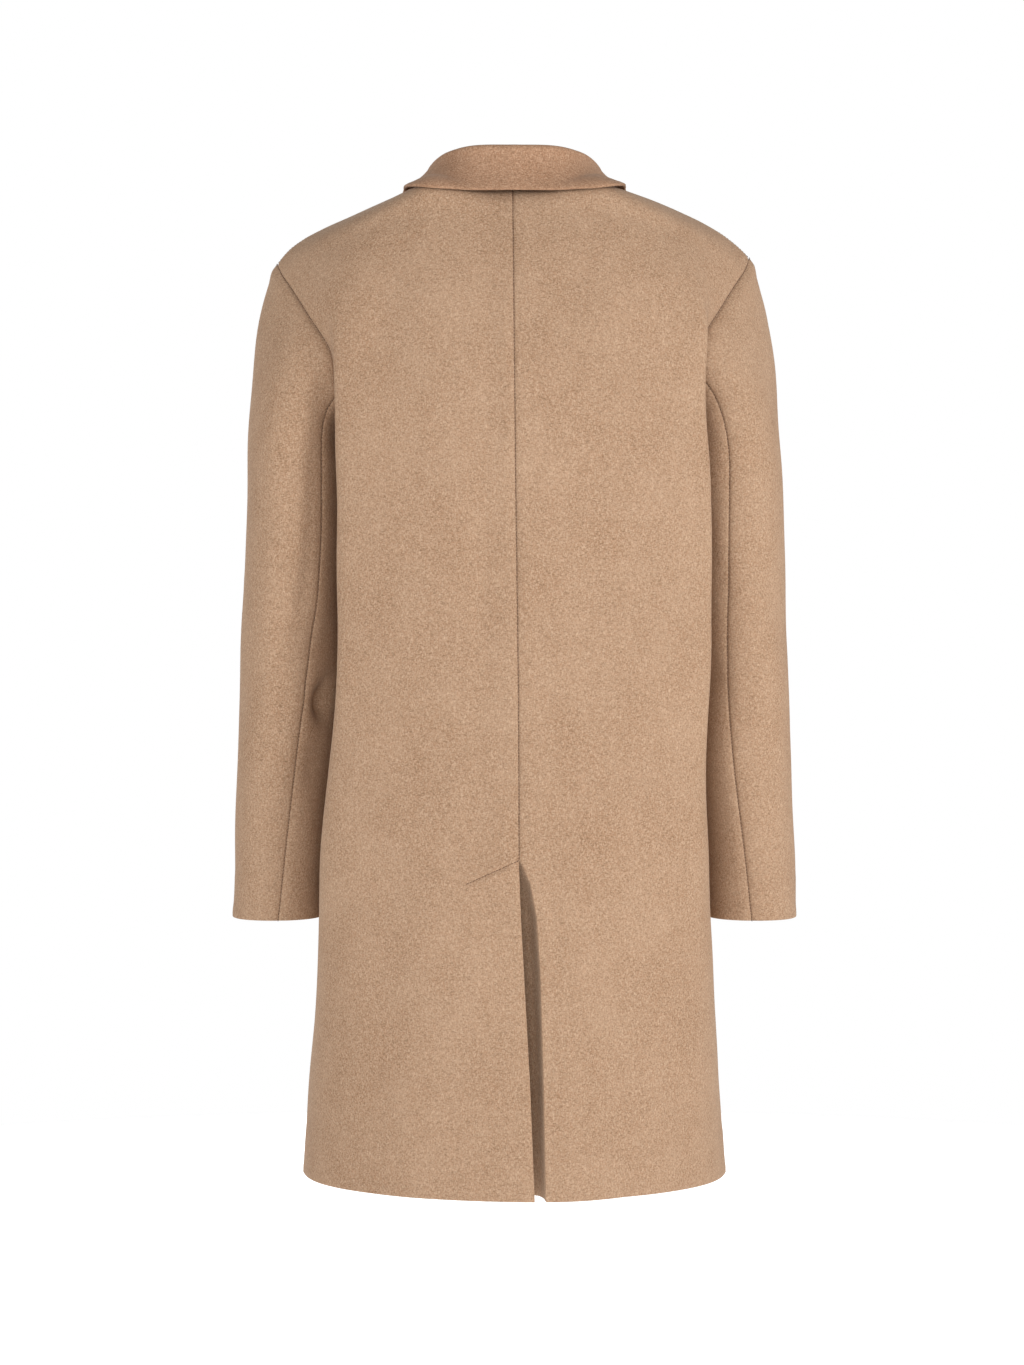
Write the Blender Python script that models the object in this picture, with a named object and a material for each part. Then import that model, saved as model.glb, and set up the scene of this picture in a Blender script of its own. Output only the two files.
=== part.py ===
"""Single-breasted coat of felted wool, in the hollow form that it has when it is worn.

Units are metres and +Z is up. The coat faces -Y, so its back is at +Y and the wearer's left is at +X.
The origin is midway between the two neck ends of the shoulder seams, where the wearer's shoulders hold
the coat. Every cloth panel is a thin wall: a loft through the rows of a table of sections, with its
inner face one cloth thickness inside its outer face.
"""
import math
from collections import namedtuple

import bmesh
import bpy
import numpy as np
from mathutils import Vector
from mathutils.kdtree import KDTree

# ---------------------------------------------------------------- driving dimensions (metres)
CLOTH = 0.0026                 # thickness of the felted wool
COLLAR_CLOTH = 0.0030          # collar and lapels carry two layers pressed together
SEAM_PULL = 0.00022            # each panel stops this far short of its seam line
NECK_X = 0.080                 # half the width of the neck at the shoulder seams
NECK_Y = -0.004                # depth of the shoulder seam at the neck
NECK_BACK = (0.060, -0.016)    # y and z of the neck seam at centre back
SEAM_NECK = 0.36               # share of a panel's width taken by the neck at the top edge
FOLD_AT = 0.72                 # share of a panel's width at which its drape fold stands
TOP_LEVEL = -0.010             # level given to the top edge of the panels
UNDERARM_LEVEL = -0.250        # level of the underarm point
VENT_LEVEL = -0.652            # level of the top of the back vent
BREAK_LEVEL = -0.310           # level at which the lapels begin to roll
GORGE_LEVEL = -0.050           # level on the roll line at which lapel and collar meet
WRAP = 0.022                   # how far each front reaches past the centre front
UNDER_WRAP = 0.0052            # how far the right front lies beneath the left one
UNDER_WRAP_TOP = -0.205        # level at which the right front comes level with the left one
SHOULDER_X = {"left": 0.2305, "right": 0.2280}
RIGHT_SHOULDER_RISE = 0.004    # the right shoulder and armhole sit a little higher
BUTTON_RADIUS = 0.0135
BUTTON_THICKNESS = 0.0042
BUTTON_LEVELS = (-0.345, -0.465, -0.585)
BUTTON_GAP = 0.0006            # air between a button and the cloth
BUTTON_PROFILE = ((0.0, 0.0), (0.72, 0.0), (0.96, 0.28), (1.0, 0.62), (0.93, 0.96), (0.82, 1.0),
                  (0.68, 0.78), (0.0, 0.72))     # shares of a button's radius and thickness

SIDES = {"left": 1.0, "right": -1.0}

# Half sections of the back from hem to yoke. level names the row; z_side is its height at the side
# seam or armhole; follow is how far the row takes the slope of the shoulder; y_back is the depth at
# centre back; fold_l and fold_r place the drape fold of each side, y_fold its depth and soft its
# roundness; side_x and side_y place the side seam or armhole.
BackRow = namedtuple("BackRow", "level z_side follow y_back fold_l fold_r y_fold soft side_x side_y")
BACK_ROWS = (
    BackRow(-0.9588, -0.9588, 0.00, 0.1400, 0.2085, 0.2085, 0.062, 0.26, 0.2045, -0.005),
    BackRow(-0.8800, -0.8800, 0.00, 0.1385, 0.2050, 0.2060, 0.066, 0.24, 0.1990, -0.005),
    BackRow(-0.7900, -0.7900, 0.00, 0.1360, 0.2010, 0.2015, 0.070, 0.18, 0.1915, -0.005),
    BackRow(-0.7000, -0.7000, 0.00, 0.1340, 0.1950, 0.1960, 0.074, 0.12, 0.1820, -0.005),
    BackRow(-0.6400, -0.6400, 0.00, 0.1320, 0.1920, 0.1910, 0.078, 0.08, 0.1740, -0.005),
    BackRow(-0.5600, -0.5600, 0.00, 0.1290, 0.1780, 0.1870, 0.082, 0.05, 0.1660, -0.005),
    BackRow(-0.5100, -0.5100, 0.00, 0.1270, 0.1700, 0.1855, 0.086, 0.03, 0.1620, -0.005),
    BackRow(-0.4000, -0.4000, 0.00, 0.1235, 0.1690, 0.1890, 0.089, 0.03, 0.1570, -0.005),
    BackRow(-0.3000, -0.3000, 0.00, 0.1230, 0.1700, 0.1880, 0.091, 0.03, 0.1530, -0.003),
    BackRow(-0.2500, -0.2500, 0.00, 0.1220, 0.1705, 0.1845, 0.091, 0.03, 0.1550, 0.000),
    BackRow(-0.1800, -0.2140, 0.10, 0.1180, 0.1710, 0.1840, 0.089, 0.04, 0.1640, 0.056),
    BackRow(-0.1350, -0.1750, 0.25, 0.1100, 0.1730, 0.1875, 0.084, 0.07, 0.1735, 0.068),
    BackRow(-0.0920, -0.1405, 0.50, 0.0985, 0.1760, 0.1820, 0.075, 0.16, 0.1945, 0.053),
    BackRow(-0.0580, -0.1100, 0.80, 0.0870, 0.1720, 0.1720, 0.061, 0.26, 0.2135, 0.030),
    BackRow(-0.0320, -0.0925, 1.00, 0.0765, 0.1540, 0.1540, 0.047, 0.36, 0.2250, 0.013),
)

# Half sections of the front, on the same levels. edge_x and edge_y place its front edge: the straight
# overlap below the break of the lapel, the roll line above it; edge_z is the height there.
FrontRow = namedtuple("FrontRow", "edge_x edge_y edge_z z_side follow fold y_fold soft side_x side_y")
FRONT_ROWS = (
    FrontRow(-WRAP, -0.1520, -0.9588, -0.9588, 0.00, 0.2070, -0.078, 0.30, 0.2045, -0.005),
    FrontRow(-WRAP, -0.1500, -0.8800, -0.8800, 0.00, 0.2030, -0.080, 0.28, 0.1990, -0.005),
    FrontRow(-WRAP, -0.1470, -0.7900, -0.7900, 0.00, 0.1970, -0.083, 0.26, 0.1915, -0.005),
    FrontRow(-WRAP, -0.1440, -0.7000, -0.7000, 0.00, 0.1890, -0.087, 0.22, 0.1820, -0.005),
    FrontRow(-WRAP, -0.1415, -0.6400, -0.6400, 0.00, 0.1830, -0.089, 0.20, 0.1740, -0.005),
    FrontRow(-WRAP, -0.1380, -0.5600, -0.5600, 0.00, 0.1760, -0.091, 0.18, 0.1660, -0.005),
    FrontRow(-WRAP, -0.1365, -0.5100, -0.5100, 0.00, 0.1720, -0.092, 0.17, 0.1620, -0.005),
    FrontRow(-WRAP, -0.1360, -0.4000, -0.4000, 0.00, 0.1680, -0.092, 0.15, 0.1570, -0.005),
    FrontRow(-0.0200, -0.1390, -0.3000, -0.3000, 0.00, 0.1660, -0.094, 0.14, 0.1530, -0.003),
    FrontRow(-0.0010, -0.1390, -0.2500, -0.2500, 0.00, 0.1660, -0.094, 0.13, 0.1550, 0.000),
    FrontRow(0.0240, -0.1330, -0.1800, -0.2220, 0.10, 0.1620, -0.093, 0.14, 0.1620, -0.050),
    FrontRow(0.0410, -0.1210, -0.1300, -0.1800, 0.25, 0.1680, -0.086, 0.18, 0.1780, -0.062),
    FrontRow(0.0550, -0.1020, -0.0850, -0.1400, 0.50, 0.1720, -0.074, 0.22, 0.1990, -0.048),
    FrontRow(0.0665, -0.0760, -0.0450, -0.1080, 0.80, 0.1680, -0.056, 0.28, 0.2180, -0.026),
    FrontRow(0.0745, -0.0420, -0.0170, -0.0915, 1.00, 0.1500, -0.036, 0.36, 0.2260, -0.012),
)

# Height of the top of the shoulder along its seam, for each side.
ShoulderPoint = namedtuple("ShoulderPoint", "x z_left z_right")
SHOULDER_LINE = (
    ShoulderPoint(0.0800, 0.0000, 0.0000),
    ShoulderPoint(0.1070, -0.0118, -0.0095),
    ShoulderPoint(0.1350, -0.0240, -0.0195),
    ShoulderPoint(0.1600, -0.0352, -0.0300),
    ShoulderPoint(0.1850, -0.0460, -0.0418),
    ShoulderPoint(0.2050, -0.0565, -0.0540),
    ShoulderPoint(0.2200, -0.0680, -0.0665),
    ShoulderPoint(0.2305, -0.0805, -0.0772),
)

# The centre-back seam and the vent. seam_x is the seam, below the vent the edge of the left panel;
# fold_x is the fold of the right panel, whose underlap lies deeper by recess.
VentRow = namedtuple("VentRow", "level seam_x fold_x recess")
VENT_ROWS = (
    VentRow(-0.9588, -0.0184, -0.0288, 0.0130),
    VentRow(-0.8500, -0.0140, -0.0268, 0.0130),
    VentRow(-0.7500, -0.0085, -0.0238, 0.0120),
    VentRow(-0.7000, -0.0058, -0.0205, 0.0110),
    VentRow(-0.6700, -0.0047, -0.0150, 0.0085),
    VentRow(-0.6520, -0.0042, -0.0080, 0.0060),
    VentRow(-0.6480, -0.0042, -0.0042, 0.0055),
    VentRow(-0.5000, -0.0036, -0.0036, 0.0055),
    VentRow(-0.3000, -0.0010, -0.0010, 0.0055),
    VentRow(-0.0100, 0.0019, 0.0019, 0.0055),
)
UNDERLAP_STEPS = (0.0, 0.004, 0.022, 0.045)     # distances of the underlap's columns from its fold
UNDERLAP_RISE = 0.0015                          # the underlap's hem stands this much higher

# Rings of the sleeves below the armhole. turn_l and turn_r turn the ring, and with it the seams, in
# degrees; half_w and half_d are its half width and half depth.
SleeveRow = namedtuple("SleeveRow", "z x y half_w half_d turn_l turn_r")
SLEEVE_ROWS = (
    SleeveRow(-0.2850, 0.2110, -0.004, 0.0470, 0.0680, -4.5, -9.0),
    SleeveRow(-0.3600, 0.2145, -0.008, 0.0465, 0.0660, -2.5, -4.5),
    SleeveRow(-0.4300, 0.2180, -0.011, 0.0460, 0.0630, -6.0, 0.8),
    SleeveRow(-0.4900, 0.2210, -0.016, 0.0455, 0.0600, -15.0, 3.8),
    SleeveRow(-0.5600, 0.2245, -0.023, 0.0450, 0.0570, -22.0, 0.5),
    SleeveRow(-0.6400, 0.2285, -0.033, 0.0445, 0.0545, -31.0, -8.0),
    SleeveRow(-0.7150, 0.2325, -0.043, 0.0440, 0.0530, -37.0, -14.0),
)
SLEEVE_HEAD_STEPS = (0.0, 0.10, 0.25, 0.45, 0.70)
SLEEVE_LEVELS = (-0.285, -0.335, -0.385, -0.430, -0.465, -0.490, -0.515, -0.545, -0.590, -0.640,
                 -0.685, -0.715)
HIND_SEAM = {"left": -0.180, "right": -0.157}    # level on the back armhole of the hind-arm seam
HIND_ANGLE = {"left": 132.0, "right": 108.0}     # that seam's angle round the sleeve, in degrees
FORE_SEAM = -0.157             # level on the front armhole of the forearm seam

# Creases pressed into the sleeves: height, angle round the sleeve in degrees from its outer side
# through the back, depth (outward when negative), and the reach along and round the sleeve.
SleeveFold = namedtuple("SleeveFold", "side z angle depth reach spread")
SLEEVE_FOLDS = (
    SleeveFold("left", -0.503, 148.0, 0.0170, 0.017, 16.0),
    SleeveFold("left", -0.440, 120.0, 0.0030, 0.022, 30.0),
    SleeveFold("left", -0.560, 135.0, 0.0030, 0.030, 25.0),
    SleeveFold("right", -0.470, 130.0, 0.0040, 0.025, 30.0),
    SleeveFold("right", -0.560, 70.0, 0.0030, 0.030, 35.0),
    SleeveFold("left", -0.460, 285.0, 0.0050, 0.020, 40.0),
    SleeveFold("right", -0.445, 280.0, 0.0055, 0.022, 40.0),
)

# Soft folds of the body: panel, level, share of the panel's width, depth, and reach up and across.
BodyFold = namedtuple("BodyFold", "panel side level share depth reach spread slant")
BODY_FOLDS = (
    BodyFold("back", "left", -0.400, 0.130, 0.0022, 0.150, 0.060, 0.00),
    BodyFold("back", "right", -0.340, 0.260, 0.0018, 0.140, 0.080, 0.00),
    BodyFold("back", "left", -0.160, 0.500, 0.0022, 0.060, 0.090, 0.30),
    BodyFold("back", "right", -0.170, 0.520, 0.0020, 0.060, 0.090, 0.20),
    BodyFold("back", "right", -0.820, 0.330, 0.0030, 0.130, 0.090, 0.10),
    BodyFold("back", "left", -0.800, 0.450, 0.0025, 0.150, 0.110, -0.10),
    BodyFold("front", "left", -0.760, 0.480, 0.0030, 0.150, 0.100, 0.10),
    BodyFold("front", "right", -0.740, 0.520, 0.0028, 0.160, 0.100, 0.05),
    BodyFold("front", "left", -0.360, 0.450, 0.0022, 0.060, 0.120, -0.35),
    BodyFold("front", "right", -0.380, 0.500, 0.0024, 0.070, 0.120, -0.30),
)

# The collar from centre back round to the gorge: along is the share of its length, roll its folded
# top edge and fall its outer edge.
CollarRow = namedtuple("CollarRow", "along roll fall")
COLLAR_ROWS = (
    CollarRow(0.00, (0.0000, 0.0705, 0.0186), (0.0000, 0.0830, -0.0258)),
    CollarRow(0.28, (0.0420, 0.0600, 0.0188), (0.0560, 0.0800, -0.0254)),
    CollarRow(0.40, (0.0550, 0.0470, 0.0166), (0.0800, 0.0770, -0.0244)),
    CollarRow(0.52, (0.0640, 0.0320, 0.0142), (0.0965, 0.0605, -0.0220)),
    CollarRow(0.62, (0.0715, 0.0150, 0.0115), (0.1040, 0.0290, -0.0152)),
    CollarRow(0.70, (0.0770, -0.0040, 0.0085), (0.1070, -0.0040, -0.0085)),
    CollarRow(0.86, (0.0745, -0.0400, -0.0100), (0.1170, -0.0450, -0.0260)),
    CollarRow(1.00, (0.0680, -0.0680, -0.0340), (0.1265, -0.0680, -0.0660)),
)
COLLAR_NECK_SHARE = 0.70       # share of the collar's half length that lies on the back neck
COLLAR_LEAF = ((0.0, GORGE_LEVEL), (0.216, -0.0665), (0.405, -0.0600))
LAPEL_GAP = {"left": 0.0014, "right": 0.0036}    # air between a turned lapel and the front below
GORGE_GAP = 0.0018             # how far lapel and collar each stop short of the gorge
LAPEL_ROLL = 0.0020            # how much wider the lapel rolls once it has opened
COLLAR_ROLL = 0.0036           # radius of the collar's roll
COLLAR_LIFT = 0.0026           # air between the collar's fall and the cloth below

# The lapel from its break to its point: roll_level on the roll line, and its outer edge in the front
# panel's own share of width and level.
LapelRow = namedtuple("LapelRow", "roll_level edge_share edge_level")
LAPEL_UPPER = (LapelRow(-0.160, 0.385, -0.155), LapelRow(-0.105, 0.450, -0.115),
               LapelRow(GORGE_LEVEL, 0.470, -0.092))
LAPEL_ROWS = {
    "left": (LapelRow(BREAK_LEVEL, 0.020, BREAK_LEVEL + 0.002), LapelRow(-0.270, 0.150, -0.262),
             LapelRow(-0.220, 0.275, -0.210)) + LAPEL_UPPER,
    "right": (LapelRow(-0.228, 0.140, -0.272), LapelRow(-0.205, 0.260, -0.218)) + LAPEL_UPPER,
}

# ---------------------------------------------------------------- mesh stations
LEVELS = (-0.9588, -0.935, -0.880, -0.825, -0.765, -0.710, -0.675, VENT_LEVEL, -0.648, -0.600, -0.560,
          -0.510, -0.455, -0.400, -0.350, BREAK_LEVEL, -0.280, UNDERARM_LEVEL, -0.233, -0.210, -0.180,
          -0.157, -0.135, -0.113, -0.092, -0.075, -0.060, GORGE_LEVEL, -0.041, -0.031, -0.020, TOP_LEVEL)
BACK_SHARES = (0.0, 0.12, 0.24, SEAM_NECK, 0.41, 0.46, 0.51, 0.56, 0.60, 0.64, 0.69, FOLD_AT, 0.75, 0.82,
               0.91, 1.0)
FRONT_SHARES = tuple((share - SEAM_NECK) / (1.0 - SEAM_NECK) for share in BACK_SHARES if share >= SEAM_NECK)


# ---------------------------------------------------------------- curves
def spline(knots, values, at):
    """Smooth curve through values at knots, read at the places at."""
    knots = np.asarray(knots, float)
    values = np.asarray(values, float)
    slopes = np.gradient(values, knots, axis=0)
    cell = np.clip(np.searchsorted(knots, at, side="right") - 1, 0, len(knots) - 2)
    step = knots[cell + 1] - knots[cell]
    t = (np.asarray(at, float) - knots[cell]) / step
    extra = (1,) * (values.ndim - 1)
    t = t.reshape(t.shape + extra)
    step = step.reshape(step.shape + extra)
    return ((2 * t**3 - 3 * t**2 + 1) * values[cell] + (t**3 - 2 * t**2 + t) * step * slopes[cell]
            + (3 * t**2 - 2 * t**3) * values[cell + 1] + (t**3 - t**2) * step * slopes[cell + 1])


def hinge(x, soft):
    """Zero before the origin and x after it, rounded over the width soft."""
    return 0.5 * (x + np.sqrt(x * x + soft * soft))


def corner_weights(share, soft):
    """Weights that lead a section to its drape fold and then on to its side."""
    start, end = -FOLD_AT, 1.0 - FOLD_AT
    after = (hinge(share - FOLD_AT, soft) - hinge(start, soft)) / (hinge(end, soft) - hinge(start, soft))
    left = (hinge(FOLD_AT - share, soft) - hinge(-end, soft)) / (hinge(-start, soft) - hinge(-end, soft))
    return 1.0 - left, after


def unit(vectors):
    """Vectors scaled to length one."""
    return vectors / np.maximum(np.linalg.norm(vectors, axis=-1, keepdims=True), 1e-12)


def shoulder_height(x, side):
    """Height of the shoulder seam at the distance x from the centre."""
    rows = np.array(SHOULDER_LINE)
    return spline(rows[:, 0], rows[:, 1 if side == "left" else 2], x)


# ---------------------------------------------------------------- body surfaces, left side at +X
def back_top(share, side):
    """Top edge of a back panel: half the neck, then the shoulder seam."""
    turn = np.clip(share / SEAM_NECK, 0.0, 1.0) * math.pi / 2
    past = np.clip((share - SEAM_NECK) / (1.0 - SEAM_NECK), 0.0, 1.0)
    x = NECK_X * np.sin(turn) + (SHOULDER_X[side] - NECK_X) * past
    y = NECK_Y + (NECK_BACK[0] - NECK_Y) * np.cos(turn)
    z = np.where(share < SEAM_NECK, NECK_BACK[1] * np.cos(turn) ** 2, shoulder_height(x, side))
    return np.stack([x, y, z], -1)


def front_top(share, side):
    """Top edge of a front panel: the shoulder seam from the neck to the armhole."""
    x = NECK_X + (SHOULDER_X[side] - NECK_X) * share
    return np.stack([x, np.full_like(x, NECK_Y), shoulder_height(x, side)], -1)


def side_shift(side, level):
    """How far the upper rows of the right side are raised and drawn in."""
    if side == "left":
        return 0.0, 0.0
    above = min(max((level - UNDERARM_LEVEL) / (TOP_LEVEL - UNDERARM_LEVEL), 0.0), 1.0)
    return RIGHT_SHOULDER_RISE * min(2.0 * above, 1.0), (SHOULDER_X["left"] - SHOULDER_X["right"]) * above


def section(share, start, fold, end, soft):
    """A section from its centre edge through its drape fold to its side, as x and y."""
    to_fold, to_side = corner_weights(share, soft)
    across = start[0] + (fold[0] - start[0]) * to_fold
    inner = max(start[0], 0.0)
    bow = (across**2 - inner**2) / (fold[0] ** 2 - inner**2)
    x = across + (end[0] - fold[0]) * to_side
    y = start[1] + (fold[1] - start[1]) * bow + (end[1] - fold[1]) * to_side
    return x, y


def sloped(share, z_start, z_side, follow, top):
    """Heights along a row that takes part of the slope of the top edge."""
    slope = follow * (top[:, 2] - top[0, 2])
    return z_start + slope + (z_side - z_start - slope[-1]) * share**2


def back_rings(share, side):
    """Rows of the back as arrays of points, from hem to shoulder, and one past it for the tangent."""
    top = back_top(share, side)
    rings = []
    for row in BACK_ROWS:
        rise, draw = side_shift(side, row.level)
        fold_x = row.fold_l if side == "left" else row.fold_r
        x, y = section(share, (0.0, row.y_back), (fold_x, row.y_fold), (row.side_x - draw, row.side_y),
                       row.soft)
        rings.append(np.stack([x, y, sloped(share, row.level, row.z_side + rise, row.follow, top)], -1))
    neck = np.clip(1.3 - share / SEAM_NECK, 0.0, 1.0)[:, None]
    beyond = neck * np.array([0.0, -0.008, 0.020]) + (1 - neck) * np.array([0.0, -0.030, -0.003])
    return np.array(rings + [top, top + beyond])


def front_rings(share, side):
    """Rows of the front as arrays of points, from hem to shoulder, and one past it."""
    top = front_top(share, side)
    rings = []
    for row, back in zip(FRONT_ROWS, BACK_ROWS):
        rise, draw = side_shift(side, back.level)
        x, y = section(share, (row.edge_x, row.edge_y), (row.fold, row.y_fold),
                       (row.side_x - draw, row.side_y), row.soft)
        z = sloped(share, row.edge_z, row.z_side + rise, row.follow, top)
        rings.append(np.stack([x, y, z], -1))
    beyond = np.array([0.0, 0.030, -0.003]) + np.outer(np.clip(1 - 4 * share, 0, 1), (0.0, -0.01, 0.01))
    return np.array(rings + [top, top + beyond])


KNOTS = [row.level for row in BACK_ROWS] + [TOP_LEVEL, TOP_LEVEL + 0.03]


def fold_depth(panel, side, level, share):
    """Depth of the body's soft folds at each point, none at the seams."""
    depth = np.zeros_like(level)
    for fold in BODY_FOLDS:
        if (fold.panel, fold.side) == (panel, side):
            across = (share - fold.share - fold.slant * (level - fold.level)) / fold.spread
            depth += fold.depth * np.exp(-((level - fold.level) / fold.reach) ** 2 - across**2)
    inside = np.minimum(share, 1 - share) / 0.15
    return depth * np.clip(inside, 0, 1) * np.clip((TOP_LEVEL - level) / 0.06, 0, 1)


def side_seam_shift(edge, level):
    """Shift that gives back and front the same side seam below the underarm."""
    count = KNOTS.index(UNDERARM_LEVEL) + 1
    seam = np.array([(row.side_x, row.side_y, row.z_side) for row in BACK_ROWS[:count]])
    shift = spline(KNOTS[:count], seam, level) - spline(KNOTS, edge, level)
    return np.where((level < UNDERARM_LEVEL)[..., None], shift, 0.0)


def panel_points(panel, side, level, share):
    """Points of a body panel's outer face at matching arrays of level and share of width."""
    level, share = np.broadcast_arrays(np.asarray(level, float), np.asarray(share, float))
    shape = level.shape
    shares, inverse = np.unique(np.append(share.ravel(), 1.0), return_inverse=True)
    rings = (back_rings if panel == "back" else front_rings)(shares, side)
    points = np.empty((level.size, 3))
    columns = spline(KNOTS, rings, level.ravel())
    points[:] = columns[np.arange(level.size), inverse[:-1]]
    points = points.reshape(shape + (3,))
    depth = fold_depth(panel, side, level, share)
    points[..., 1] -= depth if panel == "back" else -depth
    points += side_seam_shift(rings[:, -1], level) * (share**4)[..., None]
    if panel == "back":
        vents = np.array(VENT_ROWS)
        column = 1 if side == "left" else 2
        shift = np.interp(level, vents[:, 0], vents[:, column]) * np.clip(1 - share / SEAM_NECK, 0, 1)
        points[..., 0] += shift * SIDES[side]
    if panel == "front" and side == "right":
        beneath = np.clip((0.44 - share) / 0.24, 0, 1)
        below = np.clip((UNDER_WRAP_TOP - level) / 0.04, 0, 1)
        points[..., 1] += UNDER_WRAP * beneath * beneath * (3 - 2 * beneath) * below
    points[..., 0] *= SIDES[side]
    return points


def panel_grid(panel, side, levels, shares):
    """Grid of a panel's outer points, a row for each level."""
    return panel_points(panel, side, np.array(levels)[:, None], np.array(shares)[None, :])


def underlap_columns(side_grid, levels):
    """Points of the right panel's underlap, beside the fold in the first column of the grid."""
    vents = np.array(VENT_ROWS)
    recess = np.interp(levels, vents[:, 0], vents[:, 3])
    rows = [level for level in levels if level <= VENT_LEVEL + 1e-9]
    columns = []
    for step in UNDERLAP_STEPS[:0:-1]:
        column = side_grid[:, 0].copy()
        column[:, 0] += step
        column[:, 1] -= recess
        column[0, 2] += UNDERLAP_RISE
        columns.append(column)
    return np.stack(columns, 1), len(rows) - 1


# ---------------------------------------------------------------- sleeves
def armhole(side, levels):
    """Closed loop of armhole points from the shoulder down the back and up the front."""
    down = [level for level in reversed(levels) if level >= UNDERARM_LEVEL - 1e-9]
    back = panel_points("back", side, np.array(down), np.ones(len(down)))
    front = panel_points("front", side, np.array(down), np.ones(len(down)))
    return np.concatenate([back, front[-2:0:-1]])


def sleeve_angles(side, loop):
    """Angle round the sleeve of each armhole point, in degrees from the shoulder through the back."""
    steps = np.linalg.norm(np.roll(loop, -1, axis=0) - loop, axis=1)
    along = np.concatenate([[0.0], np.cumsum(steps)])
    underarm = len(loop) // 2
    hind = LEVELS[::-1].index(HIND_SEAM[side])
    places = np.array([0.0, along[hind], along[underarm], along[-1]])
    return np.interp(along[:-1], places, (0.0, HIND_ANGLE[side], 180.0, 360.0))


def sleeve_ring(side, z, angles):
    """Ring of the sleeve at each height z, for columns at the given angles."""
    rows = np.array(SLEEVE_ROWS)
    order = np.argsort(rows[:, 0])
    row = spline(rows[order, 0], rows[order], np.asarray(z, float))
    x, y, half_w, half_d = (row[:, i, None] for i in (1, 2, 3, 4))
    turned = angles[None, :] + row[:, 5 if side == "left" else 6, None]
    radius = np.ones_like(turned)
    for fold in SLEEVE_FOLDS:
        if fold.side == side:
            across = (turned - fold.angle) / fold.spread
            along = (np.asarray(z, float)[:, None] - fold.z) / fold.reach
            radius -= fold.depth / half_w * np.exp(-across**2 - along**2)
    turn = np.radians(turned)
    bend = np.abs(np.cos(turn)) ** 0.9 * np.sign(np.cos(turn))
    points = np.stack([x + half_w * bend * radius, y + half_d * np.sin(turn) * radius,
                       np.broadcast_to(np.asarray(z, float)[:, None], turned.shape)], -1)
    points[..., 0] *= SIDES[side]
    return points


def sleeve_grid(side, levels):
    """Grid of the sleeve's outer points: a row for each station, a column for each armhole point."""
    loop = armhole(side, levels)
    angles = sleeve_angles(side, loop)
    below = sleeve_ring(side, np.array(SLEEVE_LEVELS), angles)
    first = below[0]
    slope = unit(below[1] - below[0])
    top = (1 + np.cos(np.radians(angles))) / 2
    sideways = 0.45 * np.sin(np.radians(angles)) * (top - 0.35)
    leave = np.stack([0.95 - 0.57 * top, sideways, -0.35 - 0.57 * top], -1)
    leave[:, 0] *= SIDES[side]
    reach = np.linalg.norm(first - loop, axis=1, keepdims=True)
    rows = []
    for t in SLEEVE_HEAD_STEPS:
        rows.append((2 * t**3 - 3 * t**2 + 1) * loop + (t**3 - 2 * t**2 + t) * reach * unit(leave)
                    + (3 * t**2 - 2 * t**3) * first + (t**3 - t**2) * reach * slope)
    return np.concatenate([np.array(rows), below])


# ---------------------------------------------------------------- walls
def key_of(point):
    """Name of a point for finding the same place in another panel."""
    return tuple(np.round(point, 6))


def gather_normals(grids):
    """Outward normals shared by every panel that meets at a point; each grid comes with its axis."""
    total = {}
    for grid, axis in grids:
        cross = np.cross(grid[1:, 1:] - grid[:-1, :-1], grid[1:, :-1] - grid[:-1, 1:])
        cross *= np.sign(np.sum(cross * (grid - axis)[:-1, :-1]))
        for i in range(cross.shape[0]):
            for j in range(cross.shape[1]):
                for corner in ((i, j), (i + 1, j), (i, j + 1), (i + 1, j + 1)):
                    key = key_of(grid[corner])
                    total[key] = total.get(key, 0.0) + unit(cross[i, j])
    return total


def normals_of(grid, total):
    """Normals of a grid, read from the shared ones."""
    return np.array([[unit(total[key_of(point)]) for point in row] for row in grid])


def pull_in(grid):
    """Offsets that draw the outer rows and columns of a grid in from their seams."""
    shift = np.zeros_like(grid)
    shift[0] += unit(grid[1] - grid[0])
    shift[-1] += unit(grid[-2] - grid[-1])
    shift[:, 0] += unit(grid[:, 1] - grid[:, 0])
    shift[:, -1] += unit(grid[:, -2] - grid[:, -1])
    return shift * SEAM_PULL


def make_wall(name, outer, inner, material, mask=None):
    """A closed wall between two grids of points, over the cells in mask."""
    rows, columns = outer.shape[:2]
    if mask is None:
        mask = np.ones((rows - 1, columns - 1), bool)
    probe = np.argwhere(mask)[len(np.argwhere(mask)) // 2]
    i, j = probe
    normal = np.cross(outer[i + 1, j + 1] - outer[i, j], outer[i + 1, j] - outer[i, j + 1])
    outward = float(np.dot(normal, outer[i, j] - inner[i, j])) > 0
    count = rows * columns
    faces = []
    border = {}
    for i, j in np.argwhere(mask):
        a, b = i * columns + j, i * columns + j + 1
        c, d = b + columns, a + columns
        loop = (a, b, c, d) if outward else (a, d, c, b)
        faces.append(loop)
        faces.append(tuple(vertex + count for vertex in reversed(loop)))
        for start, end in zip(loop, loop[1:] + loop[:1]):
            if (end, start) in border:
                del border[(end, start)]
            else:
                border[(start, end)] = True
    for start, end in border:
        faces.append((end, start, start + count, end + count))
    points = np.concatenate([outer.reshape(-1, 3), inner.reshape(-1, 3)])
    used = sorted({vertex for face in faces for vertex in face})
    renumber = {vertex: index for index, vertex in enumerate(used)}
    corners = [tuple(points[vertex]) for vertex in used]
    make_piece(name, corners, [tuple(renumber[vertex] for vertex in face) for face in faces], material, 50)


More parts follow.
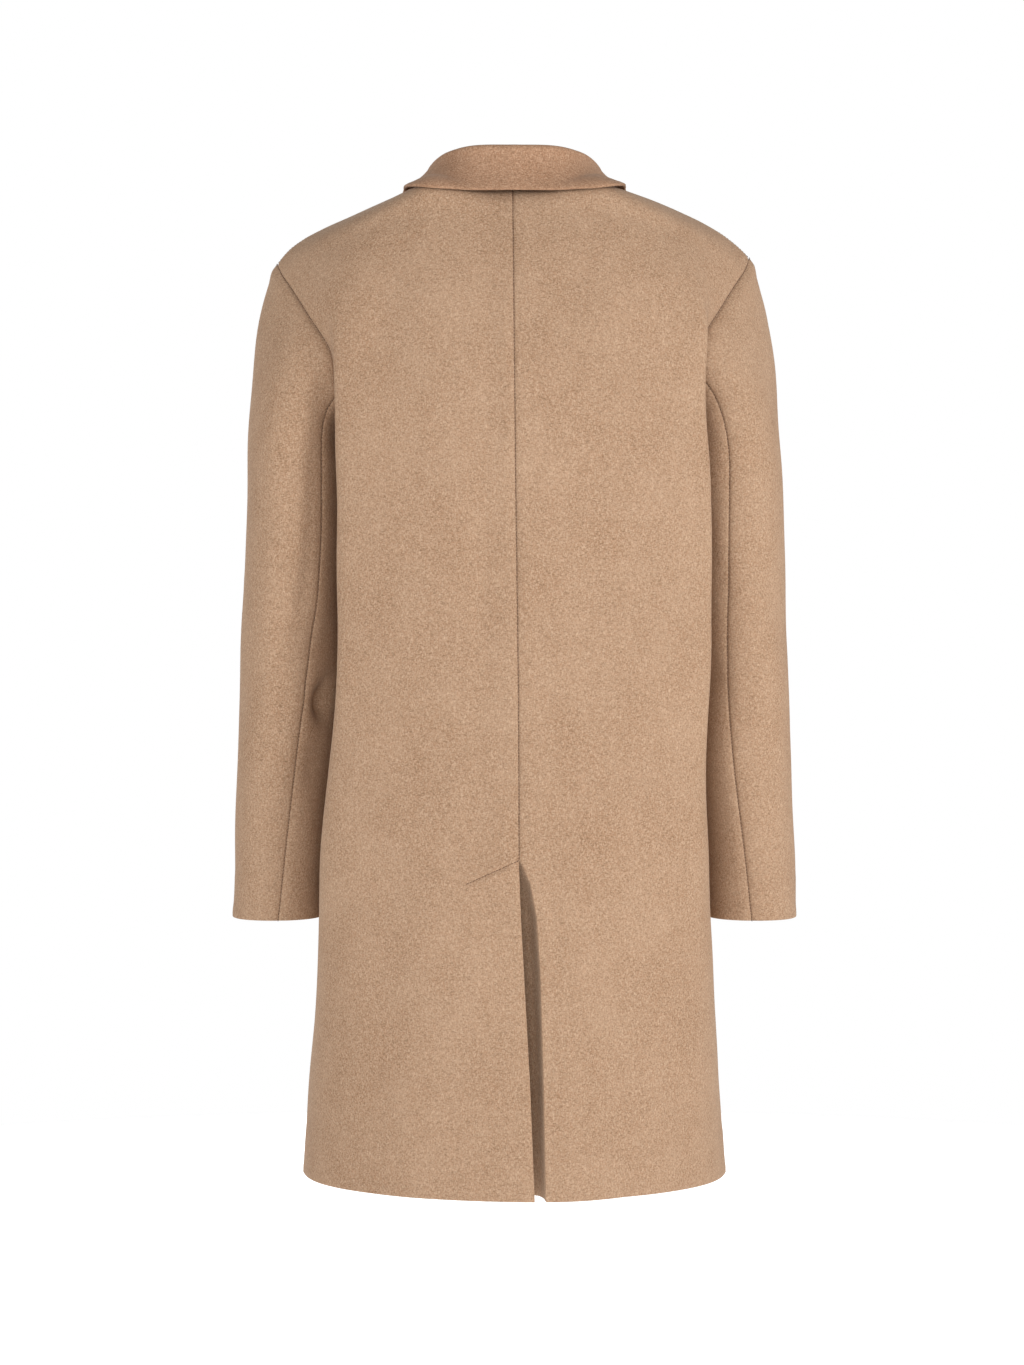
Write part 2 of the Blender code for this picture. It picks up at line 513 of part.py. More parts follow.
def make_piece(name, points, faces, material, sharp_angle):
    """An object of triangles, smooth but for the edges sharper than the angle in degrees."""
    mesh = bpy.data.meshes.new(name)
    mesh.from_pydata(points, [], faces)
    work = bmesh.new()
    work.from_mesh(mesh)
    bmesh.ops.triangulate(work, faces=work.faces[:], quad_method="BEAUTY")
    work.to_mesh(mesh)
    work.free()
    mesh.shade_smooth()
    mesh.set_sharp_from_angle(angle=math.radians(sharp_angle))
    piece = bpy.data.objects.new(name, mesh)
    piece.data.materials.append(material)
    bpy.context.scene.collection.objects.link(piece)


def make_panel(name, grid, total, material, mask=None):
    """A panel's wall: its outer grid and the same grid one cloth thickness inside."""
    normals = normals_of(grid, total)
    outer = grid + pull_in(grid)
    make_wall(name, outer, outer - normals * CLOTH, material, mask)


# ---------------------------------------------------------------- lapels and collar
class BodySurface:
    """Nearby points and normals of the body, for laying a piece on it."""

    def __init__(self, grids):
        self.points = np.concatenate([grid.reshape(-1, 3) for grid in grids])
        normals = np.concatenate([unit(np.cross(np.gradient(grid, axis=1), np.gradient(grid, axis=0)))
                                  .reshape(-1, 3) for grid in grids])
        self.normals = outward(normals, self.points)
        self.tree = KDTree(len(self.points))
        for index, point in enumerate(self.points):
            self.tree.insert(Vector(point), index)
        self.tree.balance()

    def lifted(self, point, clearance):
        """The point, moved out until it is at least clearance from the body."""
        _, index, _ = self.tree.find(Vector(point))
        normal = self.normals[index]
        short = clearance - float(np.dot(point - self.points[index], normal))
        return point + normal * max(short, 0.0)


def outward(normals, points):
    """Normals turned away from the upright line through the middle of the coat."""
    spoke = points - np.array([0.0, 0.0, -0.10]) * (points[..., 2:] > -0.10) - points * (0, 0, 1) * (
        points[..., 2:] <= -0.10)
    facing = np.sum(normals * spoke, -1, keepdims=True)
    return np.where(facing < 0, -normals, normals)


def panel_frame(panel, side, level, share):
    """Point, outward normal and direction towards the centre edge on a body panel."""
    step = 0.003
    here = panel_points(panel, side, level, share)
    across = panel_points(panel, side, level, share + step) - here
    down = panel_points(panel, side, level - step, share) - here
    return here, outward(unit(np.cross(down, across)), here), -unit(across)


def roll_over(start, lead, facing, radius, count):
    """Half circle that turns cloth over: its middle points and the normals of its upper side.

    start is where the turn begins, lead the direction in which the cloth arrives, and facing the
    direction in which it turns.
    """
    turns = np.linspace(0, math.pi, count)[:, None]
    centre = start + facing * radius
    normals = -facing * np.cos(turns) + lead * np.sin(turns)
    return centre + normals * radius, normals


def lapel_faces(side, total):
    """Outer and inner grids of a turned lapel: its roll, then the leaf that lies on the front."""
    gap = LAPEL_GAP[side]
    rows = np.array(LAPEL_ROWS[side])
    levels = [rows[0, 0]] + [level for level in LEVELS if rows[0, 0] < level <= GORGE_LEVEL]
    middle, upper = [], []
    for roll_level, edge_share, edge_level in spline(rows[:, 0], rows, np.array(levels)):
        edge, normal, inward = (value[0] for value in panel_frame(
            "front", side, np.array([roll_level]), np.array([0.0])))
        normal = total.get(key_of(edge), normal)
        normal = unit(normal)
        inward = unit(inward - normal * np.dot(normal, inward))
        grow = min((roll_level - rows[0, 0]) / 0.05, 1.0)
        radius = (CLOTH + gap) / 2 + LAPEL_ROLL * grow
        start = edge - normal * CLOTH / 2 + inward * SEAM_PULL
        points, normals = roll_over(start, inward, normal, radius, 6)
        shares = np.linspace(0, 1, 9)[1:]
        here, leaf_normals, _ = panel_frame("front", side, roll_level + (edge_level - roll_level) * shares,
                                            edge_share * shares)
        rest = gap + COLLAR_CLOTH / 2
        height = rest + (2 * radius - CLOTH / 2 - rest) * (1 - shares) ** 2
        middle.append(np.concatenate([points, here + leaf_normals * height[:, None]]))
        upper.append(np.concatenate([normals, leaf_normals]))
    middle[-1] -= unit(middle[-1] - middle[-2]) * GORGE_GAP
    middle, upper = np.array(middle), np.array(upper)
    half = np.full((middle.shape[1], 1), COLLAR_CLOTH / 2)
    half[0] = CLOTH / 2
    return middle + upper * half, middle - upper * half


def collar_faces(surface, total):
    """Outer and inner grids of the whole collar, from its right end to its left end."""
    rows = np.array([(row.along,) + row.roll + row.fall for row in COLLAR_ROWS])
    shares = [share for share in BACK_SHARES if share <= SEAM_NECK]
    levels = [level for level in reversed(LEVELS) if GORGE_LEVEL <= level < TOP_LEVEL]
    alongs = [COLLAR_NECK_SHARE * share / SEAM_NECK for share in shares]
    alongs += [COLLAR_NECK_SHARE + (1 - COLLAR_NECK_SHARE) * (TOP_LEVEL - level) / (TOP_LEVEL - GORGE_LEVEL)
               for level in levels]
    strips = []
    for side, sign in (("right", -1.0), ("left", 1.0)):
        top = np.full(len(shares), TOP_LEVEL)
        neck = panel_frame("back", side, top, np.array(shares))
        edge = panel_frame("front", side, np.array(levels), np.zeros(len(levels)))
        frames = [np.concatenate(pair) for pair in zip(neck, edge)]
        values = spline(rows[:, 0], rows, np.array(alongs)) * (1, sign, 1, 1, sign, 1, 1)
        frames[1] = np.array([unit(total[key_of(point)]) for point in frames[0]])
        half = [collar_strip(side, alongs[index], values[index], [frame[index] for frame in frames], surface)
                for index in range(len(alongs))]
        strips += half[::-1] if side == "right" else half[1:]
    middle = np.array([strip[0] for strip in strips])
    middle[0] += unit(middle[1] - middle[0]) * GORGE_GAP
    middle[-1] += unit(middle[-2] - middle[-1]) * GORGE_GAP
    upper = np.array([strip[1] for strip in strips])
    half = np.full((middle.shape[1], 1), COLLAR_CLOTH / 2)
    half[0] = CLOTH / 2
    return middle + upper * half, middle - upper * half


def collar_strip(side, along, row, frame, surface):
    """One cross strip of the collar, from the neck seam over the roll to its outer edge."""
    neck, normal, inward = frame
    roll, fall = row[1:4], row[4:7]
    front = max(along - COLLAR_NECK_SHARE, 0.0) / (1.0 - COLLAR_NECK_SHARE)
    rise = unit(unit(roll - neck) * (1 - front**2) + inward * front**2)
    height = max(float(np.dot(roll - neck, rise)), COLLAR_ROLL) * (1 - front) + COLLAR_ROLL * front
    facing = unit(normal - rise * np.dot(normal, rise))
    start = neck - normal * CLOTH / 2 + rise * 2 * SEAM_PULL
    turn_start = start + rise * max(height - COLLAR_ROLL, 0.0026)
    steps = (0.0, 0.33, 0.67)
    stand = [start + (turn_start - start) * t for t in steps]
    points, normals = roll_over(turn_start, rise, facing, COLLAR_ROLL, 6)
    length = np.linalg.norm(fall - points[-1])
    control = points[-1] - rise * 0.35 * length
    leaf = []
    for t in np.linspace(0, 1, 7)[1:]:
        point = points[-1] * (1 - t) ** 2 + control * 2 * t * (1 - t) + fall * t * t
        leaf.append(surface.lifted(point, COLLAR_CLOTH / 2 + COLLAR_LIFT))
    if along > 0.999:
        path = np.array(COLLAR_LEAF)
        shares = np.linspace(0, path[-1, 0], 7)[1:]
        here, leaf_normals, _ = panel_frame("front", side, np.interp(shares, path[:, 0], path[:, 1]), shares)
        leaf = list(here + leaf_normals * (COLLAR_CLOTH / 2 + COLLAR_LIFT))
    middle = np.array(stand + list(points) + leaf)
    tangent = np.gradient(middle, axis=0)
    upper = unit(np.cross(np.cross(tangent[4], normals[1]), tangent))
    upper *= np.sign(np.sum(upper * np.vstack([[-facing] * 3, normals, [facing] * len(leaf)]), -1))[:, None]
    for index, t in enumerate(steps):
        upper[index] = -unit(normal * (1 - t) + facing * t)
    return middle, upper


# ---------------------------------------------------------------- buttons
def make_button(name, level, material):
    """A round button with a raised rim, on the centre front of the left front."""
    share = WRAP / (FRONT_ROWS[7].fold + WRAP) * FOLD_AT
    here, normal, _ = panel_frame("front", "left", np.array([level]), np.array([share]))
    centre, outward = here[0], normal[0]
    side = unit(np.cross(outward, (0.0, 0.0, 1.0)))
    up = np.cross(side, outward)
    count = 20
    points = [centre + outward * BUTTON_GAP]
    for radius, height in BUTTON_PROFILE[1:-1]:
        for step in range(count):
            turn = 2 * math.pi * step / count
            spoke = (side * math.cos(turn) + up * math.sin(turn)) * radius * BUTTON_RADIUS
            points.append(centre + spoke + outward * (BUTTON_GAP + height * BUTTON_THICKNESS))
    points.append(centre + outward * (BUTTON_GAP + BUTTON_PROFILE[-1][1] * BUTTON_THICKNESS))
    faces = []
    for step in range(count):
        after = (step + 1) % count
        faces.append((0, 1 + step, 1 + after))
        for ring in range(len(BUTTON_PROFILE) - 3):
            low, high = 1 + ring * count, 1 + (ring + 1) * count
            faces.append((low + after, low + step, high + step, high + after))
        last = 1 + (len(BUTTON_PROFILE) - 3) * count
        faces.append((last + after, last + step, len(points) - 1))
    make_piece(name, [tuple(point) for point in points], faces, material, 40)


# ---------------------------------------------------------------- materials and assembly
def make_material(name, colour, roughness):
    """A plain material with a colour and a roughness."""
    material = bpy.data.materials.new(name)
    material.use_nodes = True
    shader = material.node_tree.nodes["Principled BSDF"]
    shader.inputs["Base Color"].default_value = (*colour, 1.0)
    shader.inputs["Roughness"].default_value = roughness
    shader.inputs["Metallic"].default_value = 0.0
    return material


def main():
    """Build every piece of the coat."""
    for item in list(bpy.data.objects):
        bpy.data.objects.remove(item, do_unlink=True)
    wool = make_material("camel_wool", (0.51, 0.33, 0.21), 0.92)
    horn = make_material("brown_horn", (0.09, 0.05, 0.03), 0.35)

    body = {}
    for side in SIDES:
        body["back", side] = panel_grid("back", side, LEVELS, BACK_SHARES)
        body["front", side] = panel_grid("front", side, LEVELS, FRONT_SHARES)
    sleeves = {side: sleeve_grid(side, LEVELS) for side in SIDES}
    looped = {side: np.concatenate([grid, grid[:, :1]], 1) for side, grid in sleeves.items()}

    grids = []
    for side, grid in looped.items():
        centre = grid[:, :-1].mean(axis=1, keepdims=True)
        grids.append((grid, centre))
        for panel in ("back", "front"):
            grids.append((body[panel, side], body[panel, side] * (0, 0, 1)))
    underlap, vent_rows = underlap_columns(body["back", "right"], LEVELS)
    right_back = np.concatenate([underlap, body["back", "right"]], 1)
    total = gather_normals(grids)
    for point in underlap.reshape(-1, 3):
        total[key_of(point)] = np.array([0.0, 1.0, 0.0])

    mask = np.ones((len(LEVELS) - 1, right_back.shape[1] - 1), bool)
    mask[vent_rows:, :underlap.shape[1]] = False
    make_panel("back_left", body["back", "left"], total, wool)
    make_panel("back_right", right_back, total, wool, mask)
    for side, grid in looped.items():
        make_panel("front_" + side, body["front", side], total, wool)
        count = grid.shape[1] - 1
        hind = LEVELS[::-1].index(HIND_SEAM[side])
        fore = count - LEVELS[::-1].index(FORE_SEAM)
        over = list(range(fore, count)) + list(range(0, hind + 1))
        under = list(range(hind, fore + 1))
        make_panel("sleeve_%s_upper" % side, grid[:, over], total, wool)
        make_panel("sleeve_%s_under" % side, grid[:, under], total, wool)

    levels, shares = np.linspace(-0.32, TOP_LEVEL, 60), np.linspace(0, 1, 50)
    surface = BodySurface([panel_grid(panel, side, levels, shares)
                           for side in SIDES for panel in ("back", "front")])
    for side in SIDES:
        make_wall("lapel_" + side, *lapel_faces(side, total), wool)
    make_wall("collar", *collar_faces(surface, total), wool)
    for number, level in enumerate(BUTTON_LEVELS, 1):
        make_button("button_%d" % number, level, horn)


main()
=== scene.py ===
"""Single-breasted coat of felted wool, dressed for the camera in its hollow worn form.

Units are metres and +Z is up. The coat faces -Y, its back is at +Y and the wearer's left at +X. Each
cloth piece is a thin closed wall on the form of its solid, with its main creases laid one by one; seams are
sunk lines with their sewing in them, and the edges are turned and rolled.
"""
from __future__ import annotations

import logging
import math
from collections import namedtuple
from dataclasses import dataclass, field
from enum import Enum
from typing import Any, Callable, Sequence

import bmesh
import bpy
import numpy as np
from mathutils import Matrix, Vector
from mathutils.kdtree import KDTree

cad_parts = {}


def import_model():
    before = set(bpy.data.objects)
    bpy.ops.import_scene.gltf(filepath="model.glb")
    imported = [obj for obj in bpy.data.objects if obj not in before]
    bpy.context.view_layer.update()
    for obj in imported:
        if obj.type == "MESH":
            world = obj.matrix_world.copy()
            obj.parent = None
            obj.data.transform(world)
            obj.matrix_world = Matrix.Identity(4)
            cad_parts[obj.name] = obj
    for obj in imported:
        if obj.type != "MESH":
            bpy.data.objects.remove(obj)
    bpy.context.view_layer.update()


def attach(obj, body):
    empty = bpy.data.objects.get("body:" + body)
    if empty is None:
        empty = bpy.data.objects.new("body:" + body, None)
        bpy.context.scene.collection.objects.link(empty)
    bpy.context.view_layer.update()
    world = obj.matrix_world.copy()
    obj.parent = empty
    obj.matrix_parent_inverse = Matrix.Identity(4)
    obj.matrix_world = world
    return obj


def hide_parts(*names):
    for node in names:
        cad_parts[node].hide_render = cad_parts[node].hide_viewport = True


LOG = logging.getLogger("coat")
Array = np.ndarray


class Side(Enum):
    """A side of the coat, by the sign of its X."""

    LEFT = 1.0
    RIGHT = -1.0

    @property
    def word(self) -> str:
        """The side's name as the pieces carry it."""
        return self.name.lower()


class Cut(Enum):
    """A body panel's place."""

    BACK = "back"
    FRONT = "front"


class Edge(Enum):
    """How an edge of a cloth piece is finished."""

    SEAM = "sewn into a seam"
    ROLLED = "turned and rolled"


# ---------------------------------------------------------------- tables of sections
BackRow = namedtuple("BackRow", "level z_side follow y_back fold_l fold_r y_fold soft side_x side_y")
BACK_ROWS = tuple(BackRow(*row) for row in (
    (-0.9588, -0.9588, 0.00, 0.1400, 0.2085, 0.2085, 0.062, 0.26, 0.2045, -0.005),
    (-0.8800, -0.8800, 0.00, 0.1385, 0.2050, 0.2060, 0.066, 0.24, 0.1990, -0.005),
    (-0.7900, -0.7900, 0.00, 0.1360, 0.2010, 0.2015, 0.070, 0.18, 0.1915, -0.005),
    (-0.7000, -0.7000, 0.00, 0.1340, 0.1950, 0.1960, 0.074, 0.12, 0.1820, -0.005),
    (-0.6400, -0.6400, 0.00, 0.1320, 0.1920, 0.1910, 0.078, 0.08, 0.1740, -0.005),
    (-0.5600, -0.5600, 0.00, 0.1290, 0.1780, 0.1870, 0.082, 0.05, 0.1660, -0.005),
    (-0.5100, -0.5100, 0.00, 0.1270, 0.1700, 0.1855, 0.086, 0.03, 0.1620, -0.005),
    (-0.4000, -0.4000, 0.00, 0.1235, 0.1690, 0.1890, 0.089, 0.03, 0.1570, -0.005),
    (-0.3000, -0.3000, 0.00, 0.1230, 0.1700, 0.1880, 0.091, 0.03, 0.1530, -0.003),
    (-0.2500, -0.2500, 0.00, 0.1220, 0.1705, 0.1845, 0.091, 0.03, 0.1550, 0.000),
    (-0.1800, -0.2140, 0.10, 0.1180, 0.1710, 0.1840, 0.089, 0.04, 0.1640, 0.056),
    (-0.1350, -0.1750, 0.25, 0.1100, 0.1730, 0.1875, 0.084, 0.07, 0.1735, 0.068),
    (-0.0920, -0.1405, 0.50, 0.0985, 0.1760, 0.1820, 0.075, 0.16, 0.1945, 0.053),
    (-0.0580, -0.1100, 0.80, 0.0870, 0.1720, 0.1720, 0.061, 0.26, 0.2135, 0.030),
    (-0.0320, -0.0925, 1.00, 0.0765, 0.1540, 0.1540, 0.047, 0.36, 0.2250, 0.013),
))
FrontRow = namedtuple("FrontRow", "edge_x edge_y edge_z z_side follow fold y_fold soft side_x side_y")
FRONT_ROWS = tuple(FrontRow(*row) for row in (
    (-0.0220, -0.1520, -0.9588, -0.9588, 0.00, 0.2070, -0.078, 0.30, 0.2045, -0.005),
    (-0.0220, -0.1500, -0.8800, -0.8800, 0.00, 0.2030, -0.080, 0.28, 0.1990, -0.005),
    (-0.0220, -0.1470, -0.7900, -0.7900, 0.00, 0.1970, -0.083, 0.26, 0.1915, -0.005),
    (-0.0220, -0.1440, -0.7000, -0.7000, 0.00, 0.1890, -0.087, 0.22, 0.1820, -0.005),
    (-0.0220, -0.1415, -0.6400, -0.6400, 0.00, 0.1830, -0.089, 0.20, 0.1740, -0.005),
    (-0.0220, -0.1380, -0.5600, -0.5600, 0.00, 0.1760, -0.091, 0.18, 0.1660, -0.005),
    (-0.0220, -0.1365, -0.5100, -0.5100, 0.00, 0.1720, -0.092, 0.17, 0.1620, -0.005),
    (-0.0220, -0.1360, -0.4000, -0.4000, 0.00, 0.1680, -0.092, 0.15, 0.1570, -0.005),
    (-0.0200, -0.1390, -0.3000, -0.3000, 0.00, 0.1660, -0.094, 0.14, 0.1530, -0.003),
    (-0.0010, -0.1390, -0.2500, -0.2500, 0.00, 0.1660, -0.094, 0.13, 0.1550, 0.000),
    (0.0240, -0.1330, -0.1800, -0.2220, 0.10, 0.1620, -0.093, 0.14, 0.1620, -0.050),
    (0.0410, -0.1210, -0.1300, -0.1800, 0.25, 0.1680, -0.086, 0.18, 0.1780, -0.062),
    (0.0550, -0.1020, -0.0850, -0.1400, 0.50, 0.1720, -0.074, 0.22, 0.1990, -0.048),
    (0.0665, -0.0760, -0.0450, -0.1080, 0.80, 0.1680, -0.056, 0.28, 0.2180, -0.026),
    (0.0745, -0.0420, -0.0170, -0.0915, 1.00, 0.1500, -0.036, 0.36, 0.2260, -0.012),
))
# x, z of the left shoulder seam and z of the right one
SHOULDER_LINE = np.array([
    (0.0800, 0.0000, 0.0000), (0.1070, -0.0118, -0.0095), (0.1350, -0.0240, -0.0195),
    (0.1600, -0.0352, -0.0300), (0.1850, -0.0460, -0.0418), (0.2050, -0.0565, -0.0540),
    (0.2200, -0.0680, -0.0665), (0.2305, -0.0805, -0.0772),
])
# level, x of the left back's edge, x of the right back's fold, depth of the underlap
VENT_ROWS = np.array([
    (-0.9588, -0.0184, -0.0288, 0.0260), (-0.8500, -0.0140, -0.0268, 0.0260),
    (-0.7500, -0.0085, -0.0238, 0.0245), (-0.7000, -0.0058, -0.0205, 0.0215),
    (-0.6700, -0.0047, -0.0150, 0.0150), (-0.6520, -0.0042, -0.0080, 0.0080),
    (-0.6480, -0.0042, -0.0042, 0.0055), (-0.5000, -0.0036, -0.0036, 0.0055),
    (-0.3000, -0.0010, -0.0010, 0.0055), (-0.0100, 0.0019, 0.0019, 0.0055),
])
# z, x, y, half width, half depth, turn of the left sleeve and of the right one in degrees
SLEEVE_ROWS = np.array([
    (-0.7150, 0.2325, -0.043, 0.0440, 0.0530, -37.0, -14.0),
    (-0.6400, 0.2285, -0.033, 0.0445, 0.0545, -31.0, -8.0),
    (-0.5600, 0.2245, -0.023, 0.0450, 0.0570, -22.0, 0.5),
    (-0.4900, 0.2210, -0.016, 0.0455, 0.0600, -15.0, 3.8),
    (-0.4300, 0.2180, -0.011, 0.0460, 0.0630, -6.0, 0.8),
    (-0.3600, 0.2145, -0.008, 0.0465, 0.0660, -2.5, -4.5),
    (-0.2850, 0.2110, -0.004, 0.0470, 0.0680, -4.5, -9.0),
])
SleeveFold = namedtuple("SleeveFold", "side z angle depth reach spread")
SLEEVE_FOLDS = tuple(SleeveFold(*row) for row in (
    (Side.LEFT, -0.503, 148.0, 0.0170, 0.017, 16.0),
    (Side.LEFT, -0.440, 120.0, 0.0030, 0.022, 30.0),
    (Side.LEFT, -0.560, 135.0, 0.0030, 0.030, 25.0),
    (Side.LEFT, -0.480, 192.0, -0.0065, 0.085, 28.0),
    (Side.RIGHT, -0.470, 130.0, 0.0040, 0.025, 30.0),
    (Side.RIGHT, -0.560, 70.0, 0.0030, 0.030, 35.0),
    (Side.LEFT, -0.460, 285.0, 0.0050, 0.020, 40.0),
    (Side.RIGHT, -0.445, 280.0, 0.0055, 0.022, 40.0),
))
BodyFold = namedtuple("BodyFold", "cut side level share depth reach spread slant")
BODY_FOLDS = tuple(BodyFold(*row) for row in (
    (Cut.BACK, Side.LEFT, -0.400, 0.130, 0.0022, 0.150, 0.060, 0.00),
    (Cut.BACK, Side.RIGHT, -0.340, 0.260, 0.0018, 0.140, 0.080, 0.00),
    (Cut.BACK, Side.LEFT, -0.160, 0.500, 0.0022, 0.060, 0.090, 0.30),
    (Cut.BACK, Side.RIGHT, -0.170, 0.520, 0.0020, 0.060, 0.090, 0.20),
    (Cut.BACK, Side.RIGHT, -0.820, 0.330, 0.0030, 0.130, 0.090, 0.10),
    (Cut.BACK, Side.LEFT, -0.800, 0.450, 0.0025, 0.150, 0.110, -0.10),
    (Cut.FRONT, Side.LEFT, -0.760, 0.480, 0.0030, 0.150, 0.100, 0.10),
    (Cut.FRONT, Side.RIGHT, -0.740, 0.520, 0.0028, 0.160, 0.100, 0.05),
    (Cut.FRONT, Side.LEFT, -0.360, 0.450, 0.0022, 0.060, 0.120, -0.35),
    (Cut.FRONT, Side.RIGHT, -0.380, 0.500, 0.0024, 0.070, 0.120, -0.30),
))
# share of the half length, then x, y, z of the roll and of the outer edge
COLLAR_ROWS = np.array([
    (0.00, 0.0000, 0.0705, 0.0186, 0.0000, 0.0830, -0.0258),
    (0.28, 0.0420, 0.0600, 0.0188, 0.0560, 0.0800, -0.0254),
    (0.40, 0.0550, 0.0470, 0.0166, 0.0800, 0.0770, -0.0244),
    (0.52, 0.0640, 0.0320, 0.0142, 0.0965, 0.0605, -0.0220),
    (0.62, 0.0715, 0.0150, 0.0115, 0.1040, 0.0290, -0.0152),
    (0.70, 0.0770, -0.0040, 0.0085, 0.1070, -0.0040, -0.0085),
    (0.86, 0.0745, -0.0400, -0.0100, 0.1170, -0.0450, -0.0260),
    (1.00, 0.0680, -0.0680, -0.0340, 0.1265, -0.0680, -0.0660),
])
# level of the roll, share and level of the outer edge
LAPEL_UPPER = ((-0.160, 0.385, -0.155), (-0.105, 0.450, -0.115), (-0.050, 0.470, -0.092))
LAPEL_ROWS = {
    Side.LEFT: np.array(((-0.310, 0.020, -0.308), (-0.270, 0.150, -0.262), (-0.220, 0.275, -0.210))
                        + LAPEL_UPPER),
    Side.RIGHT: np.array(((-0.228, 0.140, -0.272), (-0.205, 0.260, -0.218)) + LAPEL_UPPER),
}


# ---------------------------------------------------------------- curves
def hermite(t: Any, start: Any, end: Any, reach: Any, leave: Any, arrive: Any) -> Array:
    """Read a cubic curve between two values.

    Args:
        t: share of the way.
        start: value at the start.
        end: value at the end.
        reach: scale of both slopes.
        leave: slope at the start.
        arrive: slope at the end.

    Returns:
        The value at the share.
    """
    return ((2 * t**3 - 3 * t**2 + 1) * start + (t**3 - 2 * t**2 + t) * reach * leave
            + (3 * t**2 - 2 * t**3) * end + (t**3 - t**2) * reach * arrive)


def spline(knots: Sequence[float] | Array, values: Any, at: Any) -> Array:
    """Read a smooth curve through values at knots.

    Args:
        knots: rising places of the values.
        values: one value, or one array, for each knot.
        at: places to read.

    Returns:
        The curve's values at the places.
    """
    knots, values, at = (np.asarray(item, float) for item in (knots, values, at))
    slopes = np.gradient(values, knots, axis=0)
    cell = np.clip(np.searchsorted(knots, at, side="right") - 1, 0, len(knots) - 2)
    step = knots[cell + 1] - knots[cell]
    t = (at - knots[cell]) / step
    extra = (1,) * (values.ndim - 1)
    t, step = t.reshape(t.shape + extra), step.reshape(step.shape + extra)
    return hermite(t, values[cell], values[cell + 1], step, slopes[cell], slopes[cell + 1])


def unit(vectors: Array) -> Array:
    """Vectors scaled to length one."""
    return vectors / np.maximum(np.linalg.norm(vectors, axis=-1, keepdims=True), 1e-12)


def ease(share: Any) -> Array:
    """Smooth step from 0 to 1."""
    share = np.clip(share, 0.0, 1.0)
    return share * share * (3 - 2 * share)


def stations(start: float, end: float, count: int, fine: Sequence[float], both: bool = True,
             extra: Sequence[float] = ()) -> Array:
    """Rising places from start to end that crowd together at the ends.

    Args:
        start: first place.
        end: last place.
        count: number of even steps between.
        fine: distances from an end at which places are added.
        both: whether the far end is crowded too.
        extra: places that must be there.

    Returns:
        The places.
    """
    sign = 1.0 if end > start else -1.0
    even = np.linspace(start, end, count + 1)
    near = [start + sign * step for step in fine]
    far = [end - sign * step for step in fine] if both else []
    reach = max(fine) * 0.9
    apart = 0.45 * abs(end - start) / count
    inner = [place for place in even[1:-1]
             if abs(place - start) > reach and (not both or abs(place - end) > reach)]
    keep = [place for place in inner if all(abs(place - item) > apart for item in extra)]
    places = np.array(sorted({start, end, *near, *far, *keep, *extra}))
    return places if sign > 0 else places[::-1]


def lengths(grid: Array, axis: int) -> Array:
    """Length along a grid from its first row or column to each point."""
    steps = np.linalg.norm(np.diff(grid, axis=axis), axis=-1)
    pad = [(0, 0), (0, 0)]
    pad[axis] = (1, 0)
    return np.pad(np.cumsum(steps, axis=axis), pad)


def grid_normals(grid: Array, centre: Array) -> Array:
    """Normals of a grid of points, turned away from a centre.

    Args:
        grid: points in rows and columns.
        centre: points inside the form, one for each point or for all.

    Returns:
        One normal for each point.
    """
    normals = unit(np.cross(np.gradient(grid, axis=1), np.gradient(grid, axis=0)))
    facing = float(np.sum(normals * (grid - centre)))
    return normals if facing > 0 else -normals


# ---------------------------------------------------------------- creases
@dataclass(frozen=True)
class Crease:
    """A soft ridge or trough laid on a piece, uneven along its length.

    The path runs through places (across, z): X on the body, a thousandth of the angle on a sleeve.
    """

    path: tuple[tuple[float, float], ...]
    height: float
    width: float
    uneven: float = 0.3

    def relief(self, across: Array, up: Array) -> Array:
        """Height of the crease over the cloth at each point."""
        points = np.array(self.path)
        steps = np.linalg.norm(np.diff(points, axis=0), axis=1)
        total, before = steps.sum(), 0.0
        nearest = np.full(across.shape, np.inf)
        along = np.zeros(across.shape)
        for start, end, step in zip(points[:-1], points[1:], steps):
            way = (end - start) / step
            t = np.clip((across - start[0]) * way[0] + (up - start[1]) * way[1], 0.0, step)
            gap = np.hypot(across - start[0] - way[0] * t, up - start[1] - way[1] * t)
            closer = gap < nearest
            nearest = np.where(closer, gap, nearest)
            along = np.where(closer, (before + t) / total, along)
            before += step
        swell = np.sin(math.pi * np.clip(along, 0.02, 0.98)) ** 0.8
        swell *= 1.0 + self.uneven * np.sin(7.0 * along + 40.0 * self.width + 9.0 * points[0, 0])
        return self.height * swell * np.exp(-(nearest / self.width) ** 2)


